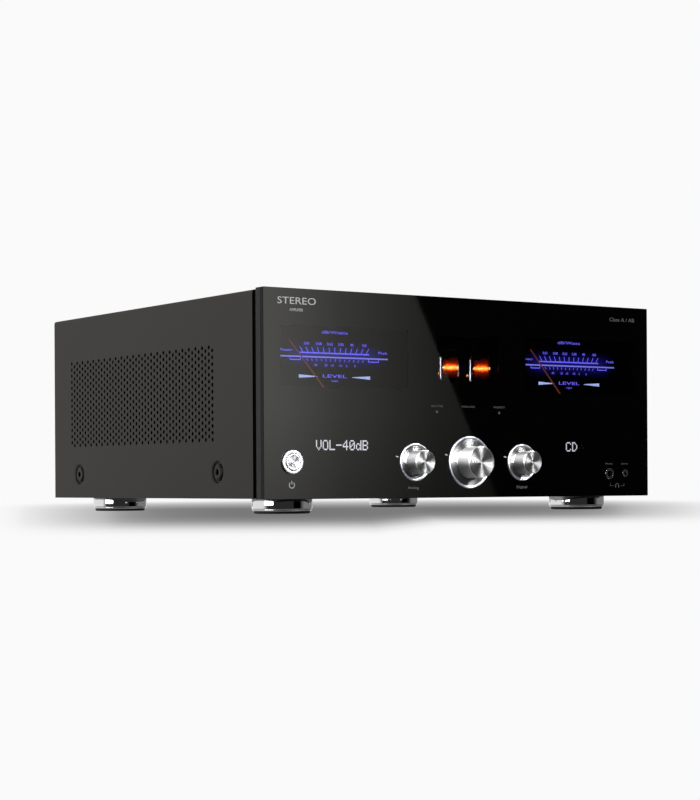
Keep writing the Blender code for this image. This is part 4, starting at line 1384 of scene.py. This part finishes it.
def make_reflection_card():
    """A large grey card out of view in front, which the glossy front reflects on its left part."""
    mat = bpy.data.materials.new("card")
    mat.use_nodes = True
    nodes = mat.node_tree.nodes
    nodes.remove(shader_of(mat))
    emit = node(mat, "ShaderNodeEmission")
    wire(emit.outputs["Emission"], nodes["Material Output"].inputs["Surface"])
    x, _, z = object_parts(mat)
    levels = ((0.0, 2.05), (1.0, 0.1), (0.23, 1.66), (0.41, 0.92), (0.59, 0.52), (0.71, 0.33))
    stops = [(position, (level, level * 0.99, level * 0.93)) for position, level in levels]
    wire(ramp(mat, spread(mat, x, 0.0, 1.0, 1.15, 2.05), *stops), emit.inputs["Color"])
    wire(spread(mat, z, 0.6, 1.0, -0.05, 0.2), emit.inputs["Strength"])
    # The right edge leans, so that its mirror image crosses the front at the slant the photo shows.
    left, distance = 0.4, panel(0, -2500, 0).y
    top, foot = panel(1734, 0, 471), panel(1982, 0, -23)
    along = (top - foot) / (top.z - foot.z)
    low, high = (foot + along * (z - foot.z) for z in (-0.4, 1.3))
    corners = [(left, low.z), (low.x, low.z), (high.x, high.z), (left, high.z)]
    bm = bmesh.new()
    bm.faces.new([bm.verts.new((x, distance, z)) for x, z in corners])
    card = plain_object("reflection_card", bm, mat)
    card.visible_camera = False
    card.visible_diffuse = False
    card.visible_shadow = False
    lights_only(card, "fascia_panel", *(f"{name}_pane" for name, *_ in WINDOWS))


def make_world():
    """White to the camera, and to every other ray a room that is darker in front, above and to the right."""
    world = bpy.data.worlds.new("studio")
    bpy.context.scene.world = world
    world.use_nodes = True
    world.node_tree.nodes.clear()
    white = node(world, "ShaderNodeBackground", Color=(BACKDROP, BACKDROP, BACKDROP, 1))
    room = node(world, "ShaderNodeBackground")
    mix = node(world, "ShaderNodeMixShader")
    around = node(world, "ShaderNodeTexCoord").outputs["Generated"]

    def towards(direction, *stops):
        """A factor that depends on how near a ray runs to a direction."""
        dot = node(world, "ShaderNodeVectorMath")
        dot.operation = "DOT_PRODUCT"
        dot.inputs[1].default_value = direction
        wire(around, dot.inputs[0])
        return ramp(world, dot.outputs["Value"], *stops)

    front = towards((-0.394, -0.919, 0), (0.1, 0.85), (0.42, 0.025))
    right = towards((0.983, -0.186, 0), (0.5, 1.0), (0.8, 0.25))
    above = towards((0, 0, 1), (0.35, 1.0), (0.8, 0.3))
    below = towards((0, 0, -1), (0.1, 1.0), (0.35, 0.4))
    wire(front * right * (above * below), room.inputs["Color"])
    wire(node(world, "ShaderNodeLightPath").outputs["Is Camera Ray"], mix.inputs["Fac"])
    wire(room.outputs["Background"], mix.inputs[1])
    wire(white.outputs["Background"], mix.inputs[2])
    wire(mix.outputs["Shader"], node(world, "ShaderNodeOutputWorld").inputs["Surface"])


def make_camera():
    """The photo's camera: level but for a small roll, its lens shifted up."""
    azimuth, roll = math.radians(33.71), math.radians(-0.32)
    forward = Vector((math.sin(azimuth), math.cos(azimuth), 0))
    right = Vector((math.cos(azimuth), -math.sin(azimuth), 0))
    up = right.cross(forward)
    across = right * math.cos(roll) + up * math.sin(roll)
    above = up * math.cos(roll) - right * math.sin(roll)
    lens = bpy.data.cameras.new("camera")
    lens.sensor_width = 36
    lens.lens = 89.02
    lens.shift_y = 0.1045
    lens.clip_start = 0.01
    obj = linked("camera", lens)
    turn = Matrix((across, above, -forward)).transposed().to_4x4()
    obj.matrix_world = Matrix.Translation(panel(-1075, -1419, 13)) @ turn
    bpy.context.scene.camera = obj


make_floor()
make_world()
make_reflection_card()
DIALS = [f"{name}_dial" for name, *_ in KNOBS]
TURNED_PIECES = (*DIALS, "power_cap", "power_ring")
FRONT = (0, -0.2, 0.05)
# Each lamp: name, place, target, width, height, watts, and the only pieces it lights (none: everything).
for *lamp, pieces in (
    ("knob_front", (-0.1, -2.0, 0.5), FRONT, 0.9, 0.85, 70, TURNED_PIECES),
    ("knob_strip", (1.15, -1.45, 1.15), FRONT, 0.09, 0.8, 34, TURNED_PIECES),
    ("knob_side", (-1.1, -0.9, 1.3), FRONT, 1.4, 1.4, 50, DIALS),
    ("jack_lamp", (-0.5, -1.3, 1.4), (0.16, -0.2, 0.03), 0.5, 0.3, 5, ["headphone_jack_large_socket"]),
    ("left_box", (-2.0, -0.35, 0.45), (0, 0, 0.1), 1.3, 1.0, 15, ()),
    ("top_box", (0.35, 0.8, 1.6), (0.1, 0.1, 0), 0.8, 0.8, 8, ()),
):
    made = area_light(*lamp)
    if pieces:
        lights_only(made, *pieces)
make_camera()
bpy.context.scene.view_settings.view_transform = "Standard"
